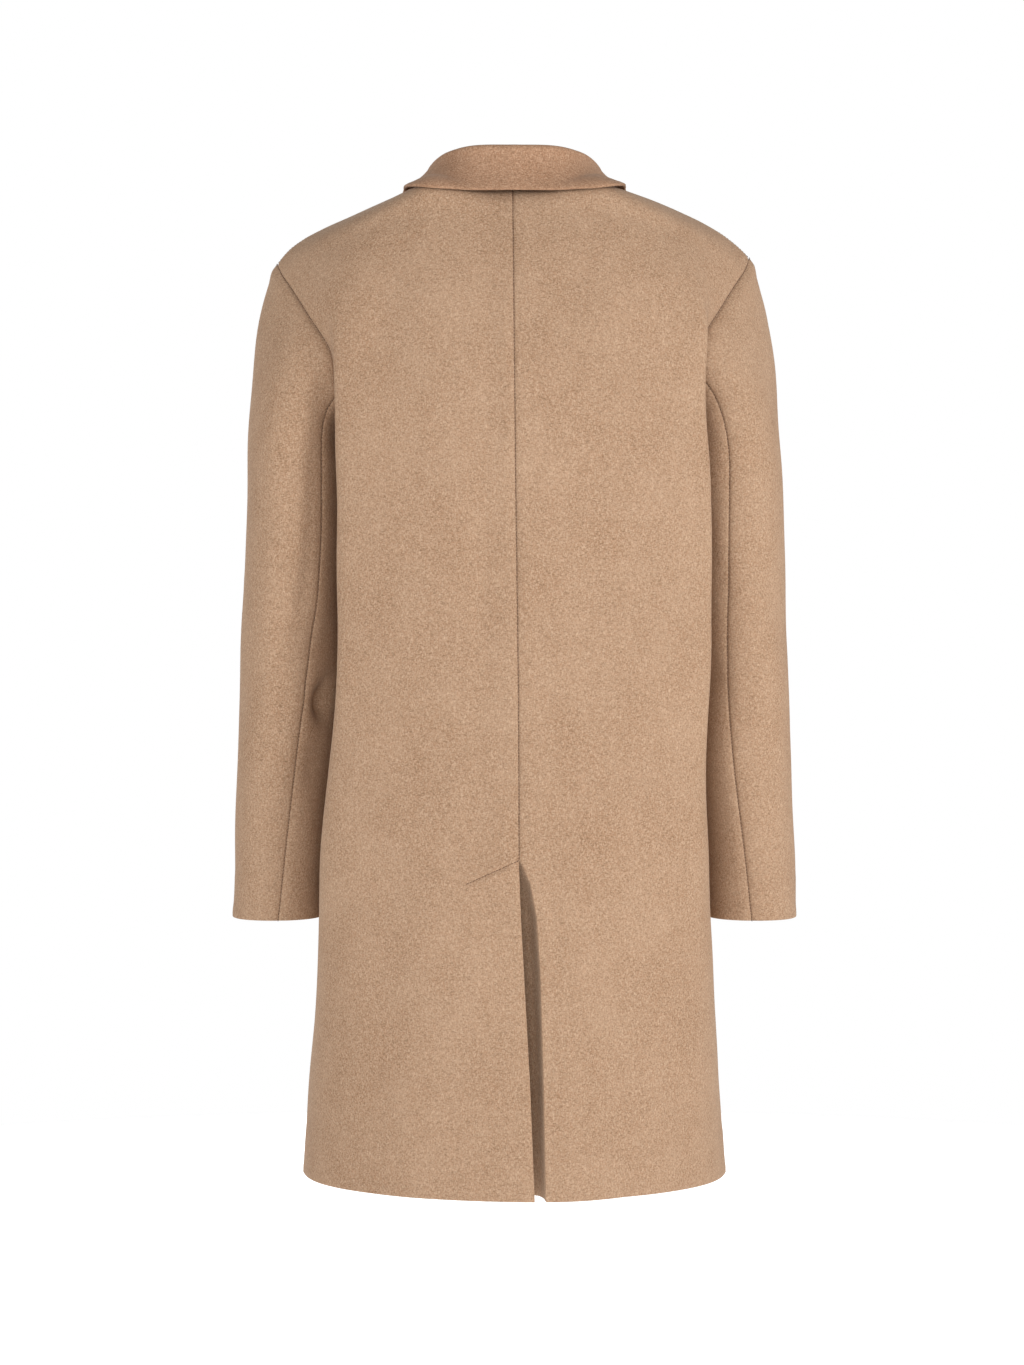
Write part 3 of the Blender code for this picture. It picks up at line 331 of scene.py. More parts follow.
CREASES: dict[str, tuple[Crease, ...]] = {piece: tuple(Crease(*row) for row in rows) for piece, rows in {
    "back_left": (
        (((0.026, -0.08), (0.022, -0.24), (0.024, -0.42)), -0.0016, 0.011, 0.2),
        (((0.068, -0.10), (0.074, -0.19), (0.062, -0.28)), 0.0012, 0.020, 0.4),
        (((0.105, -0.06), (0.118, -0.14), (0.150, -0.20)), -0.0014, 0.018, 0.4),
        (((0.030, -0.56), (0.036, -0.63), (0.022, -0.70)), -0.0013, 0.016, 0.3),
        (((0.090, -0.80), (0.140, -0.845), (0.180, -0.835)), -0.0011, 0.022, 0.3),
        (((0.168, -0.52), (0.150, -0.60), (0.120, -0.66)), -0.0009, 0.018, 0.5),
    ),
    "back_right": (
        (((-0.051, -0.08), (-0.054, -0.13), (-0.044, -0.20)), -0.0014, 0.014, 0.4),
        (((-0.085, -0.05), (-0.092, -0.10), (-0.078, -0.17)), 0.0012, 0.017, 0.3),
        (((-0.033, -0.62), (-0.036, -0.72), (-0.040, -0.82)), -0.0014, 0.013, 0.3),
        (((-0.100, -0.78), (-0.108, -0.84), (-0.112, -0.90)), 0.0016, 0.016, 0.3),
        (((-0.140, -0.83), (-0.152, -0.875), (-0.158, -0.93)), -0.0016, 0.012, 0.4),
        (((-0.165, -0.25), (-0.170, -0.36), (-0.160, -0.47)), -0.0010, 0.012, 0.4),
    ),
    "front_left": (
        (((0.150, -0.16), (0.120, -0.24), (0.090, -0.34)), -0.0018, 0.014, 0.4),
        (((0.060, -0.35), (0.085, -0.42), (0.125, -0.46)), -0.0015, 0.014, 0.4),
        (((0.040, -0.60), (0.060, -0.72), (0.070, -0.86)), 0.0016, 0.022, 0.4),
        (((0.120, -0.62), (0.130, -0.76), (0.140, -0.90)), -0.0018, 0.019, 0.3),
    ),
    "front_right": (
        (((-0.152, -0.17), (-0.124, -0.26), (-0.096, -0.35)), -0.0017, 0.015, 0.4),
        (((-0.050, -0.34), (-0.080, -0.41), (-0.120, -0.44)), -0.0016, 0.013, 0.4),
        (((-0.060, -0.62), (-0.075, -0.74), (-0.085, -0.88)), 0.0015, 0.020, 0.4),
        (((-0.125, -0.60), (-0.130, -0.75), (-0.138, -0.91)), -0.0017, 0.018, 0.3),
    ),
    "sleeve_left": (
        (((0.085, -0.12), (0.100, -0.17), (0.112, -0.23)), -0.0020, 0.014, 0.4),
        (((0.060, -0.14), (0.064, -0.22), (0.072, -0.29)), 0.0014, 0.016, 0.3),
        (((0.118, -0.36), (0.100, -0.42), (0.088, -0.47)), -0.0018, 0.013, 0.4),
        (((0.150, -0.47), (0.118, -0.50), (0.092, -0.52)), 0.0020, 0.012, 0.4),
        (((0.140, -0.56), (0.110, -0.60), (0.080, -0.61)), -0.0014, 0.014, 0.4),
        (((0.300, -0.40), (0.270, -0.45), (0.245, -0.47)), -0.0022, 0.012, 0.4),
        (((0.310, -0.46), (0.280, -0.50), (0.250, -0.53)), -0.0018, 0.012, 0.4),
        (((0.115, -0.26), (0.113, -0.35), (0.106, -0.45)), -0.0030, 0.010, 0.3),
    ),
    "sleeve_right": (
        (((0.085, -0.11), (0.104, -0.15), (0.120, -0.20)), -0.0018, 0.014, 0.4),
        (((0.055, -0.12), (0.062, -0.20), (0.075, -0.27)), 0.0012, 0.017, 0.3),
        (((0.140, -0.33), (0.118, -0.38), (0.104, -0.42)), -0.0017, 0.012, 0.4),
        (((0.135, -0.44), (0.110, -0.48), (0.085, -0.50)), 0.0016, 0.014, 0.4),
        (((0.060, -0.40), (0.045, -0.44), (0.030, -0.46)), -0.0012, 0.016, 0.4),
        (((0.300, -0.38), (0.268, -0.43), (0.240, -0.46)), -0.0022, 0.012, 0.4),
        (((0.305, -0.47), (0.275, -0.50), (0.248, -0.54)), -0.0016, 0.013, 0.4),
    ),
}.items()}


@dataclass(frozen=True)
class Hand:
    """The cloth's hand: slow, shallow waves that keep a surface from looking pressed flat."""

    height: float = 0.00045
    waves: tuple[tuple[float, float, float, float], ...] = (
        (31.0, 17.0, 0.4, 1.0), (-22.0, 38.0, 2.1, 0.9), (57.0, -28.0, 4.0, 0.6), (44.0, 66.0, 1.3, 0.45),
        (-83.0, 52.0, 5.2, 0.3))

    def relief(self, piece: str, across: Array, up: Array) -> Array:
        """Height of the waves and of the creases laid on a piece."""
        shift = sum(map(ord, piece)) % 17
        waves = sum(size * np.sin(a * across + b * up + c + shift) for a, b, c, size in self.waves)
        relief = self.height * waves
        for crease in CREASES.get(piece, ()):
            relief = relief + crease.relief(across, up)
        return relief


# ---------------------------------------------------------------- the coat's form
@dataclass(frozen=True)
class CoatForm:
    """Outer form of the coat's body: rows of sections lofted from hem to shoulder."""

    cloth: float = 0.0026
    doubled: float = 0.0030
    neck_x: float = 0.080
    neck_y: float = -0.004
    neck_back: tuple[float, float] = (0.060, -0.016)
    seam_neck: float = 0.36
    fold_at: float = 0.72
    top: float = -0.010
    underarm: float = -0.250
    vent: float = -0.652
    gorge: float = -0.050
    hem: float = -0.9588
    wrap: float = 0.022
    under_wrap: float = 0.0052
    under_wrap_top: float = -0.205
    shoulder_x: tuple[float, float] = (0.2305, 0.2280)
    shoulder_rise: float = 0.004
    past_top: float = 0.03
    past_neck: tuple[float, float, float] = (0.0, -0.008, 0.020)
    past_back: tuple[float, float, float] = (0.0, -0.030, -0.003)
    past_front: tuple[float, float, float] = (0.0, 0.030, -0.003)
    past_gorge: tuple[float, float, float] = (0.0, -0.01, 0.01)
    fold_margin: float = 0.15
    fold_fade: float = 0.06
    under_share: tuple[float, float] = (0.44, 0.24)
    under_fade: float = 0.04
    shoulder_turn: float = -0.10
    feeler: float = 0.003

    @property
    def knots(self) -> list[float]:
        """Levels of the rows, and of one past the shoulder."""
        return [row.level for row in BACK_ROWS] + [self.top, self.top + self.past_top]

    def width(self, side: Side) -> float:
        """Distance of a shoulder point from the centre."""
        return self.shoulder_x[0 if side is Side.LEFT else 1]

    def corner(self, share: Array, soft: float) -> tuple[Array, Array]:
        """Weights that lead a section to its drape fold and then to its side."""
        def hinge(x: Any) -> Array:
            """Zero before the fold and x after it, rounded."""
            return 0.5 * (x + np.sqrt(x * x + soft * soft))

        low, high = hinge(-self.fold_at), hinge(1 - self.fold_at)
        after = (hinge(share - self.fold_at) - low) / (high - low)
        low, high = hinge(self.fold_at - 1), hinge(self.fold_at)
        return 1 - (hinge(self.fold_at - share) - low) / (high - low), after

    def top_edge(self, cut: Cut, side: Side, share: Array) -> Array:
        """Top edge of a panel: the shoulder seam, and on the back half the neck before it."""
        rows = SHOULDER_LINE[:, 1 if side is Side.LEFT else 2]
        if cut is Cut.FRONT:
            x = self.neck_x + (self.width(side) - self.neck_x) * share
            return np.stack([x, np.full_like(x, self.neck_y), spline(SHOULDER_LINE[:, 0], rows, x)], -1)
        turn = np.clip(share / self.seam_neck, 0.0, 1.0) * math.pi / 2
        past = np.clip((share - self.seam_neck) / (1.0 - self.seam_neck), 0.0, 1.0)
        x = self.neck_x * np.sin(turn) + (self.width(side) - self.neck_x) * past
        y = self.neck_y + (self.neck_back[0] - self.neck_y) * np.cos(turn)
        z = np.where(share < self.seam_neck, self.neck_back[1] * np.cos(turn) ** 2,
                     spline(SHOULDER_LINE[:, 0], rows, x))
        return np.stack([x, y, z], -1)

    def section(self, share: Array, start: tuple[float, float], fold: tuple[float, float],
                end: tuple[float, float], soft: float) -> tuple[Array, Array]:
        """X and Y of a section from its centre edge through its drape fold to its side."""
        to_fold, to_side = self.corner(share, soft)
        across = start[0] + (fold[0] - start[0]) * to_fold
        inner = max(start[0], 0.0)
        bow = (across**2 - inner**2) / (fold[0] ** 2 - inner**2)
        return (across + (end[0] - fold[0]) * to_side,
                start[1] + (fold[1] - start[1]) * bow + (end[1] - fold[1]) * to_side)

    def rings(self, cut: Cut, side: Side, share: Array) -> Array:
        """All rows of a panel as points, from hem to shoulder, and one past it."""
        top = self.top_edge(cut, side, share)
        rings = []
        for front, back in zip(FRONT_ROWS, BACK_ROWS):
            row = back if cut is Cut.BACK else front
            above = min(max((back.level - self.underarm) / (self.top - self.underarm), 0.0), 1.0)
            right = side is Side.RIGHT
            rise = self.shoulder_rise * min(2 * above, 1.0) if right else 0.0
            draw = (self.shoulder_x[0] - self.shoulder_x[1]) * above if right else 0.0
            if cut is Cut.BACK:
                start, z_start = (0.0, back.y_back), back.level
                fold = (back.fold_r if right else back.fold_l, back.y_fold)
            else:
                start, z_start = (front.edge_x, front.edge_y), front.edge_z
                fold = (front.fold, front.y_fold)
            x, y = self.section(share, start, fold, (row.side_x - draw, row.side_y), row.soft)
            slope = row.follow * (top[:, 2] - top[0, 2])
            z = z_start + slope + (row.z_side + rise - z_start - slope[-1]) * share**2
            rings.append(np.stack([x, y, z], -1))
        if cut is Cut.BACK:
            neck = np.clip(1.3 - share / self.seam_neck, 0.0, 1.0)[:, None]
            beyond = neck * np.array(self.past_neck) + (1 - neck) * np.array(self.past_back)
        else:
            beyond = np.array(self.past_front) + np.outer(np.clip(1 - 4 * share, 0, 1), self.past_gorge)
        return np.array(rings + [top, top + beyond])

    def body_folds(self, cut: Cut, side: Side, level: Array, share: Array) -> Array:
        """Depth of the body's soft folds, none at the seams."""
        depth = np.zeros_like(level)
        for fold in BODY_FOLDS:
            if (fold.cut, fold.side) == (cut, side):
                across = (share - fold.share - fold.slant * (level - fold.level)) / fold.spread
                depth += fold.depth * np.exp(-((level - fold.level) / fold.reach) ** 2 - across**2)
        inside = np.clip(np.minimum(share, 1 - share) / self.fold_margin, 0, 1)
        return depth * inside * np.clip((self.top - level) / self.fold_fade, 0, 1)

    def points(self, cut: Cut, side: Side, level: Any, share: Any) -> Array:
        """Read the form's outer face.

        Args:
            cut: back or front panel.
            side: side of the coat.
            level: levels of the points.
            share: shares of the panel's width, from its centre edge to its side.

        Returns:
            One point for each pair of level and share.
        """
        level, share = np.broadcast_arrays(np.asarray(level, float), np.asarray(share, float))
        levels, row = np.unique(level.ravel(), return_inverse=True)
        shares, column = np.unique(np.append(share.ravel(), 1.0), return_inverse=True)
        rings = self.rings(cut, side, shares)
        points = spline(self.knots, rings, levels)[row, column[:-1]].reshape(level.shape + (3,))
        depth = self.body_folds(cut, side, level, share)
        points[..., 1] -= depth if cut is Cut.BACK else -depth
        count = self.knots.index(self.underarm) + 1
        seam = np.array([(item.side_x, item.side_y, item.z_side) for item in BACK_ROWS[:count]])
        shift = spline(self.knots[:count], seam, level) - spline(self.knots, rings[:, -1], level)
        points += np.where((level < self.underarm)[..., None], shift, 0.0) * (share**4)[..., None]
        if cut is Cut.BACK:
            lean = np.interp(level, VENT_ROWS[:, 0], VENT_ROWS[:, 1 if side is Side.LEFT else 2])
            points[..., 0] += lean * np.clip(1 - share / self.seam_neck, 0, 1) * side.value
        elif side is Side.RIGHT:
            beneath = ease((self.under_share[0] - share) / self.under_share[1])
            below = np.clip((self.under_wrap_top - level) / self.under_fade, 0, 1)
            points[..., 1] += self.under_wrap * beneath * below
        points[..., 0] *= side.value
        return points

    def frames(self, cut: Cut, side: Side, level: Any, share: Any) -> tuple[Array, Array, Array]:
        """Points, outward normals and directions towards the centre edge."""
        here = self.points(cut, side, level, share)
        across = self.points(cut, side, level, np.asarray(share) + self.feeler) - here
        down = self.points(cut, side, np.asarray(level) - self.feeler, share) - here
        normals = unit(np.cross(down, across))
        turn = self.shoulder_turn
        spoke = here * (1, 1, 0) + (here - (0, 0, turn)) * (0, 0, 1) * (here[..., 2:] > turn)
        facing = np.sum(normals * spoke, -1, keepdims=True)
        return here, np.where(facing < 0, -normals, normals), -unit(across)


FORM = CoatForm()
HAND = Hand()
FINE = (0.0003, 0.0008, 0.0015, 0.0026, 0.0045, 0.0075)
SHARES = (0.0012, 0.0032, 0.0062, 0.011, 0.019, 0.032)
BUTTON_LEVELS = (-0.345, -0.465, -0.585)
BUTTON_ROW = FRONT_ROWS[7]


# ---------------------------------------------------------------- cloth walls
@dataclass
class Wall:
    """A closed thin wall of cloth on a grid of outer points."""

    name: str
    grid: Array
    normals: Array
    thickness: float
    first_row: Edge
    last_row: Edge
    first_column: Edge
    last_column: Edge
    mask: Array | None = None
    seam_pull: float = 0.00012
    groove: tuple[tuple[float, float, float], ...] = (
        (0.0010, 0.0, 0.0011), (0.00055, 0.0, 0.0042), (-0.00022, 0.0085, 0.0035))
    roll: tuple[float, float, float] = (0.0003, 0.0060, 0.0045)
    column_reach: Array | None = None
    row_reach: Array | None = None

    def drops(self) -> tuple[Array, Array]:
        """How far the outer and inner faces sink towards each edge."""
        outer = np.zeros(self.grid.shape[:2])
        inner = np.zeros(self.grid.shape[:2])
        along, across = lengths(self.grid, 0), lengths(self.grid, 1)
        if self.column_reach is not None:
            across = self.column_reach
        if self.row_reach is not None:
            along = self.row_reach
        ways = ((self.first_row, along), (self.last_row, along[-1] - along),
                (self.first_column, across), (self.last_column, across[:, -1:] - across))
        radius = self.thickness / 2
        for edge, distance in ways:
            if edge is Edge.SEAM:
                outer += sum(deep * np.exp(-((distance - place) / width) ** 2)
                             for deep, place, width in self.groove)
            else:
                reach = np.clip(radius - distance, 0.0, radius)
                bend = radius - np.sqrt(radius**2 - reach**2)
                outer += bend
                inner += bend
                rise, place, width = self.roll
                outer -= rise * np.exp(-((distance - place) / width) ** 2)
        return outer, inner

    def build(self, material: bpy.types.Material) -> bpy.types.Object:
        """Make the wall's mesh.

        Args:
            material: the cloth's finish.

        Returns:
            The piece, with its own map of lengths across and along the cloth.
        """
        rows, columns = self.grid.shape[:2]
        mask = np.ones((rows - 1, columns - 1), bool) if self.mask is None else self.mask
        outer_drop, inner_drop = self.drops()
        outer = self.grid - self.normals * outer_drop[..., None]
        inner = self.grid - self.normals * (self.thickness - inner_drop)[..., None]
        grid, every = self.grid, slice(None)
        for edge, there, inside in ((self.first_row, 0, 1), (self.last_row, -1, -2),
                                    (self.first_column, (every, 0), (every, 1)),
                                    (self.last_column, (every, -1), (every, -2))):
            if edge is Edge.SEAM:
                outer[there] += unit(grid[inside] - grid[there]) * self.seam_pull
        count = rows * columns
        i, j = np.nonzero(mask)
        a = i * columns + j
        loops = np.stack([a, a + 1, a + columns + 1, a + columns], 1)
        cell = len(i) // 2
        p = self.grid.reshape(-1, 3)[loops[cell]]
        if np.dot(np.cross(p[2] - p[0], p[3] - p[1]), self.normals[i[cell], j[cell]]) < 0:
            loops = loops[:, ::-1]
        starts, ends = loops.ravel(), np.roll(loops, -1, axis=1).ravel()
        keys = set(zip(starts.tolist(), ends.tolist()))
        border = np.array([(s, e) for s, e in keys if (e, s) not in keys])
        border = border[np.lexsort((border[:, 1], border[:, 0]))]
        rim = np.stack([border[:, 1], border[:, 0], border[:, 0] + count, border[:, 1] + count], 1)
        faces = np.concatenate([loops, loops[:, ::-1] + count, rim])
        used, faces = np.unique(faces, return_inverse=True)
        faces = faces.reshape(-1, 4)
        points = np.concatenate([outer.reshape(-1, 3), inner.reshape(-1, 3)])[used]
        lie = np.stack([lengths(self.grid, 1), lengths(self.grid, 0)], -1).reshape(-1, 2)
        flat = np.concatenate([lie, lie])[used]
        return cloth_object(self.name, points, faces, flat, material)


def cloth_object(name: str, points: Array, faces: Array, flat: Array,
                 material: bpy.types.Material) -> bpy.types.Object:
    """Make a smooth object of quads.

    Args:
        name: the piece's name.
        points: corner points.
        faces: four corners for each face.
        flat: lengths across and along the cloth at each corner.
        material: the cloth's finish.

    Returns:
        The linked object.
    """
    mesh = bpy.data.meshes.new(name)
    mesh.vertices.add(len(points))
    mesh.vertices.foreach_set("co", points.astype(np.float32).ravel())
    mesh.loops.add(faces.size)
    mesh.loops.foreach_set("vertex_index", faces.ravel().astype(np.int32))
    mesh.polygons.add(len(faces))
    mesh.polygons.foreach_set("loop_start", np.arange(0, faces.size, 4, dtype=np.int32))
    mesh.update(calc_edges=True)
    layer = mesh.uv_layers.new(name="cloth")
    layer.data.foreach_set("uv", flat[faces.ravel()].astype(np.float32).ravel())
    mesh.validate()
    mesh.shade_smooth()
    return link(name, mesh, material)


def link(name: str, mesh: bpy.types.Mesh, material: bpy.types.Material) -> bpy.types.Object:
    """Put a mesh in the scene as a piece with one material."""
    piece = bpy.data.objects.new(name, mesh)
    mesh.materials.clear()
    mesh.materials.append(material)
    bpy.context.scene.collection.objects.link(piece)
    return piece


def declare(piece: bpy.types.Object, slot: str, *nodes: str) -> None:
    """Hang a piece on the root body and hide the solids that it stands for."""
    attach(piece, "root")
    if nodes:
        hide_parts(*nodes)
    LOG.info("%s: %d faces", piece.name, len(piece.data.polygons))


def declare_sheet(piece: bpy.types.Object, grid: Array,
                  mask: Array | None = None) -> None:
    """Log the size that a cloth piece was cut to.

    Args:
        piece: the cloth piece.
        grid: its points, without seam allowance.
        mask: which cells of the grid are cloth, all of them without one.
    """
    across, along = lengths(grid, 1)[:, -1], lengths(grid, 0)[-1]
    crossed = np.cross(grid[1:, 1:] - grid[:-1, :-1], grid[1:, :-1] - grid[:-1, 1:])
    cells = np.linalg.norm(crossed, axis=-1) / 2
    if mask is not None:
        cells = cells * mask
    width, length, area = float(across.max()), float(along.max()), float(cells.sum())
    area = min(area, width * length)
    LOG.info("%s: cut %.3f x %.3f m, %.4f square metres", piece.name, width, length, area)


def sew(wall: Wall, wool: bpy.types.Material, node: str, cut_to: Array) -> None:
    """Args:
        wall: the wall.
        wool: the cloth's finish.
        node: the solid that the piece stands for.
        cut_to: the cloth's points, without seam allowance.
    """
    piece = wall.build(wool)
    declare(piece, "wool", node)
    declare_sheet(piece, cut_to, wall.mask)


# ---------------------------------------------------------------- shader expressions
def operator(operation: str, reflected: bool = False) -> Callable[["Term", Any], "Term"]:
    """Make an operator of shader terms.

    Args:
        operation: the Math node's operation.
        reflected: whether the term stands second.

    Returns:
        The method that adds the node and returns its output.
    """
    def apply(self: "Term", other: Any) -> "Term":
        """The result of a Math node."""
        pair = (other, self) if reflected else (self, other)
        return self.graph.node("ShaderNodeMath", {"operation": operation}, *pair)

    return apply


@dataclass(frozen=True)
class Term:
    """A shader socket that takes part in Python expressions."""

    graph: "Graph"
    socket: bpy.types.NodeSocket

    __add__ = __radd__ = operator("ADD")
    __mul__ = __rmul__ = operator("MULTIPLY")
    __sub__, __rsub__ = operator("SUBTRACT"), operator("SUBTRACT", True)
    __truediv__, __rtruediv__ = operator("DIVIDE"), operator("DIVIDE", True)
    __pow__, __rpow__ = operator("POWER"), operator("POWER", True)

    def between(self, low: float, high: float) -> "Term":
        """The value's place between two limits, held between 0 and 1."""
        return self.graph.node("ShaderNodeMapRange", {"clamp": True}, self, low, high, 0.0, 1.0)


class Graph:
    """A material's node tree, filled by expressions."""

    def __init__(self, name: str) -> None:
        """Make the material with its one shader."""
        self.material = bpy.data.materials.new(name)
        self.material.use_nodes = True
        self.tree = self.material.node_tree
        self.shader = self.tree.nodes["Principled BSDF"]

    def node(self, kind: str, settings: dict[str, Any], *values: Any, output: str | int = 0,
             **named: Any) -> Term:
        """Add a node.

        Args:
            kind: the node's type.
            settings: properties that are set first.
            values: values or terms for its inputs in order.
            output: the output to return.
            named: values or terms for inputs by name, with underscores for spaces.

        Returns:
            The output as a term.
        """
        node = self.tree.nodes.new(kind)
        for key, value in settings.items():
            setattr(node, key, value)
        pairs = [(node.inputs[index], value) for index, value in enumerate(values)]
        pairs += [(node.inputs[key.replace("_", " ")], value) for key, value in named.items()]
        for socket, value in pairs:
            if isinstance(value, Term):
                self.tree.links.new(value.socket, socket)
            elif value is not None:
                socket.default_value = value
        return Term(self, node.outputs[output])

    def coordinates(self, output: str = "Object") -> Term:
        """The piece's own coordinates."""
        return self.node("ShaderNodeTexCoord", {}, output=output)

    def noise(self, where: Term, scale: float, detail: float = 2.0, stretch: Sequence[float] = (1, 1, 1),
              turn: Sequence[float] = (0, 0, 0)) -> Term:
        """A noise pattern, stretched and turned."""
        placed = self.node("ShaderNodeMapping", {}, Vector=where, Rotation=tuple(turn), Scale=tuple(stretch))
        return self.node("ShaderNodeTexNoise", {}, Vector=placed, Scale=scale, Detail=detail, Roughness=0.55)

    def blend(self, factor: Any, first: Any, second: Any) -> Term:
        """A mix of two colours."""
        node = self.tree.nodes.new("ShaderNodeMix")
        node.data_type = "RGBA"
        for socket, value in ((node.inputs[0], factor), (node.inputs[6], first), (node.inputs[7], second)):
            if isinstance(value, Term):
                self.tree.links.new(value.socket, socket)
            else:
                socket.default_value = value if isinstance(value, float) else (*value, 1.0)
        return Term(self, node.outputs[2])

    def feed(self, name: str, term: Term) -> None:
        """Feed an input of the shader."""
        self.tree.links.new(term.socket, self.shader.inputs[name])

    def hold(self, **values: Any) -> None:
        """Set constants on the shader's own sockets."""
        for key, value in values.items():
            self.shader.inputs[key.replace("_", " ")].default_value = value

    def bump(self, height: Term, distance: float, strength: float) -> None:
        """Feed the shader's normal from a height."""
        self.feed("Normal", self.node("ShaderNodeBump", {}, Height=height, Distance=distance,
                                      Strength=strength))


# ---------------------------------------------------------------- finishes
@dataclass(frozen=True)
class FeltedWool:
    """Camel felted wool: heathered fibres under a short brushed nap. A copy with a painted shade tint is a
    darker, warmer cloth that stands in for shade.
    """

    name: str = "camel_felted_wool"
    ground: tuple[float, float, float] = (0.322, 0.200, 0.121)
    light: tuple[float, float, float] = (0.572, 0.408, 0.285)
    dark: tuple[float, float, float] = (0.115, 0.054, 0.023)
    warm: tuple[float, float, float] = (0.350, 0.188, 0.108)
    # painted shade: below one, this tint darkens and warms a copy of the cloth in place of real shade
    painted_shade_tint: tuple[float, float, float] = (1.0, 1.0, 1.0)
    nap: float = 0.0007

    def with_painted_shade(self, colour: Sequence[float]) -> tuple[float, ...]:
        """A fibre colour under the piece's painted shade tint, which darkens and warms a copy of the cloth in
        place of shade.
        """
        return tuple(part * share for part, share in zip(colour, self.painted_shade_tint))

    def material(self) -> bpy.types.Material:
        """Build the cloth's material."""
        graph = Graph(self.name)
        ground, light, dark, warm = (self.with_painted_shade(item)
                                     for item in (self.ground, self.light, self.dark, self.warm))
        place = graph.coordinates()
        fleck = graph.noise(place, scale=900.0, stretch=(1.0, 1.0, 0.45), turn=(0.0, 0.45, 0.0))
        cross = graph.noise(place, scale=860.0, stretch=(0.45, 0.8, 1.0), turn=(0.3, 0.9, 0.2))
        felt = graph.noise(place, scale=380.0, detail=3.0)
        cloud = graph.noise(place, scale=42.0, stretch=(1.0, 1.0, 0.7))
        slow = graph.noise(place, scale=9.0, detail=1.0)
        fibre = graph.noise(place, scale=2300.0, detail=3.0, stretch=(1.0, 1.0, 0.28), turn=(0.25, 0.9, 0.0))
        pale = fleck.between(0.44, 0.79)
        deep = cross.between(0.44, 0.80)
        tone = graph.blend(felt.between(0.35, 0.68) * 0.5, ground, warm)
        tone = graph.blend(pale * 0.86, tone, light)
        tone = graph.blend(deep * 0.84, tone, dark)
        tone = graph.blend(fibre.between(0.42, 0.75) * 0.30, tone, light)
        shade = cloud.between(0.3, 0.7) * 0.12 + slow.between(0.35, 0.65) * 0.08
        tone = graph.blend(shade, tone, light)
        graph.feed("Base Color", tone)
        graph.feed("Roughness", 0.84 + felt * 0.14)
        graph.bump(fleck * 0.5 + cross * 0.4 + felt * 0.8 + fibre * 0.4, self.nap, 0.55)
        graph.hold(Sheen_Weight=0.10, Sheen_Roughness=0.45, Sheen_Tint=(0.95, 0.84, 0.74, 1.0),
                   Specular_IOR_Level=0.08)
        return graph.material


@dataclass(frozen=True)
class SewingThread:
    """Twisted sewing thread."""

    name: str = "brown_thread"
    colour: tuple[float, float, float] = (0.105, 0.050, 0.024)
    worn: tuple[float, float, float] = (0.200, 0.105, 0.055)

    def material(self) -> bpy.types.Material:
        """Build the thread's material."""
        graph = Graph(self.name)
        twist = graph.noise(graph.coordinates(), scale=1500.0, detail=1.0)
        graph.feed("Base Color", graph.blend(twist.between(0.4, 0.7), self.colour, self.worn))
        graph.bump(twist, 0.0001, 0.4)
        graph.hold(Roughness=0.7, Sheen_Weight=0.1)
        return graph.material


@dataclass(frozen=True)
class PolishedHorn:
    """Dark brown horn with pale streaks under a polish."""

    dark: tuple[float, float, float] = (0.030, 0.015, 0.008)
    streak: tuple[float, float, float] = (0.150, 0.075, 0.035)

    def material(self) -> bpy.types.Material:
        """Build the buttons' material."""
        graph = Graph("brown_horn")
        place = graph.coordinates()
        grain = graph.noise(place, scale=160.0, detail=4.0, stretch=(1.0, 1.0, 0.25), turn=(0.0, 0.5, 0.0))
        graph.feed("Base Color", graph.blend(grain.between(0.42, 0.72), self.dark, self.streak))
        graph.feed("Roughness", 0.22 + grain * 0.16)
        graph.hold(Coat_Weight=0.25, Coat_Roughness=0.12)
        return graph.material


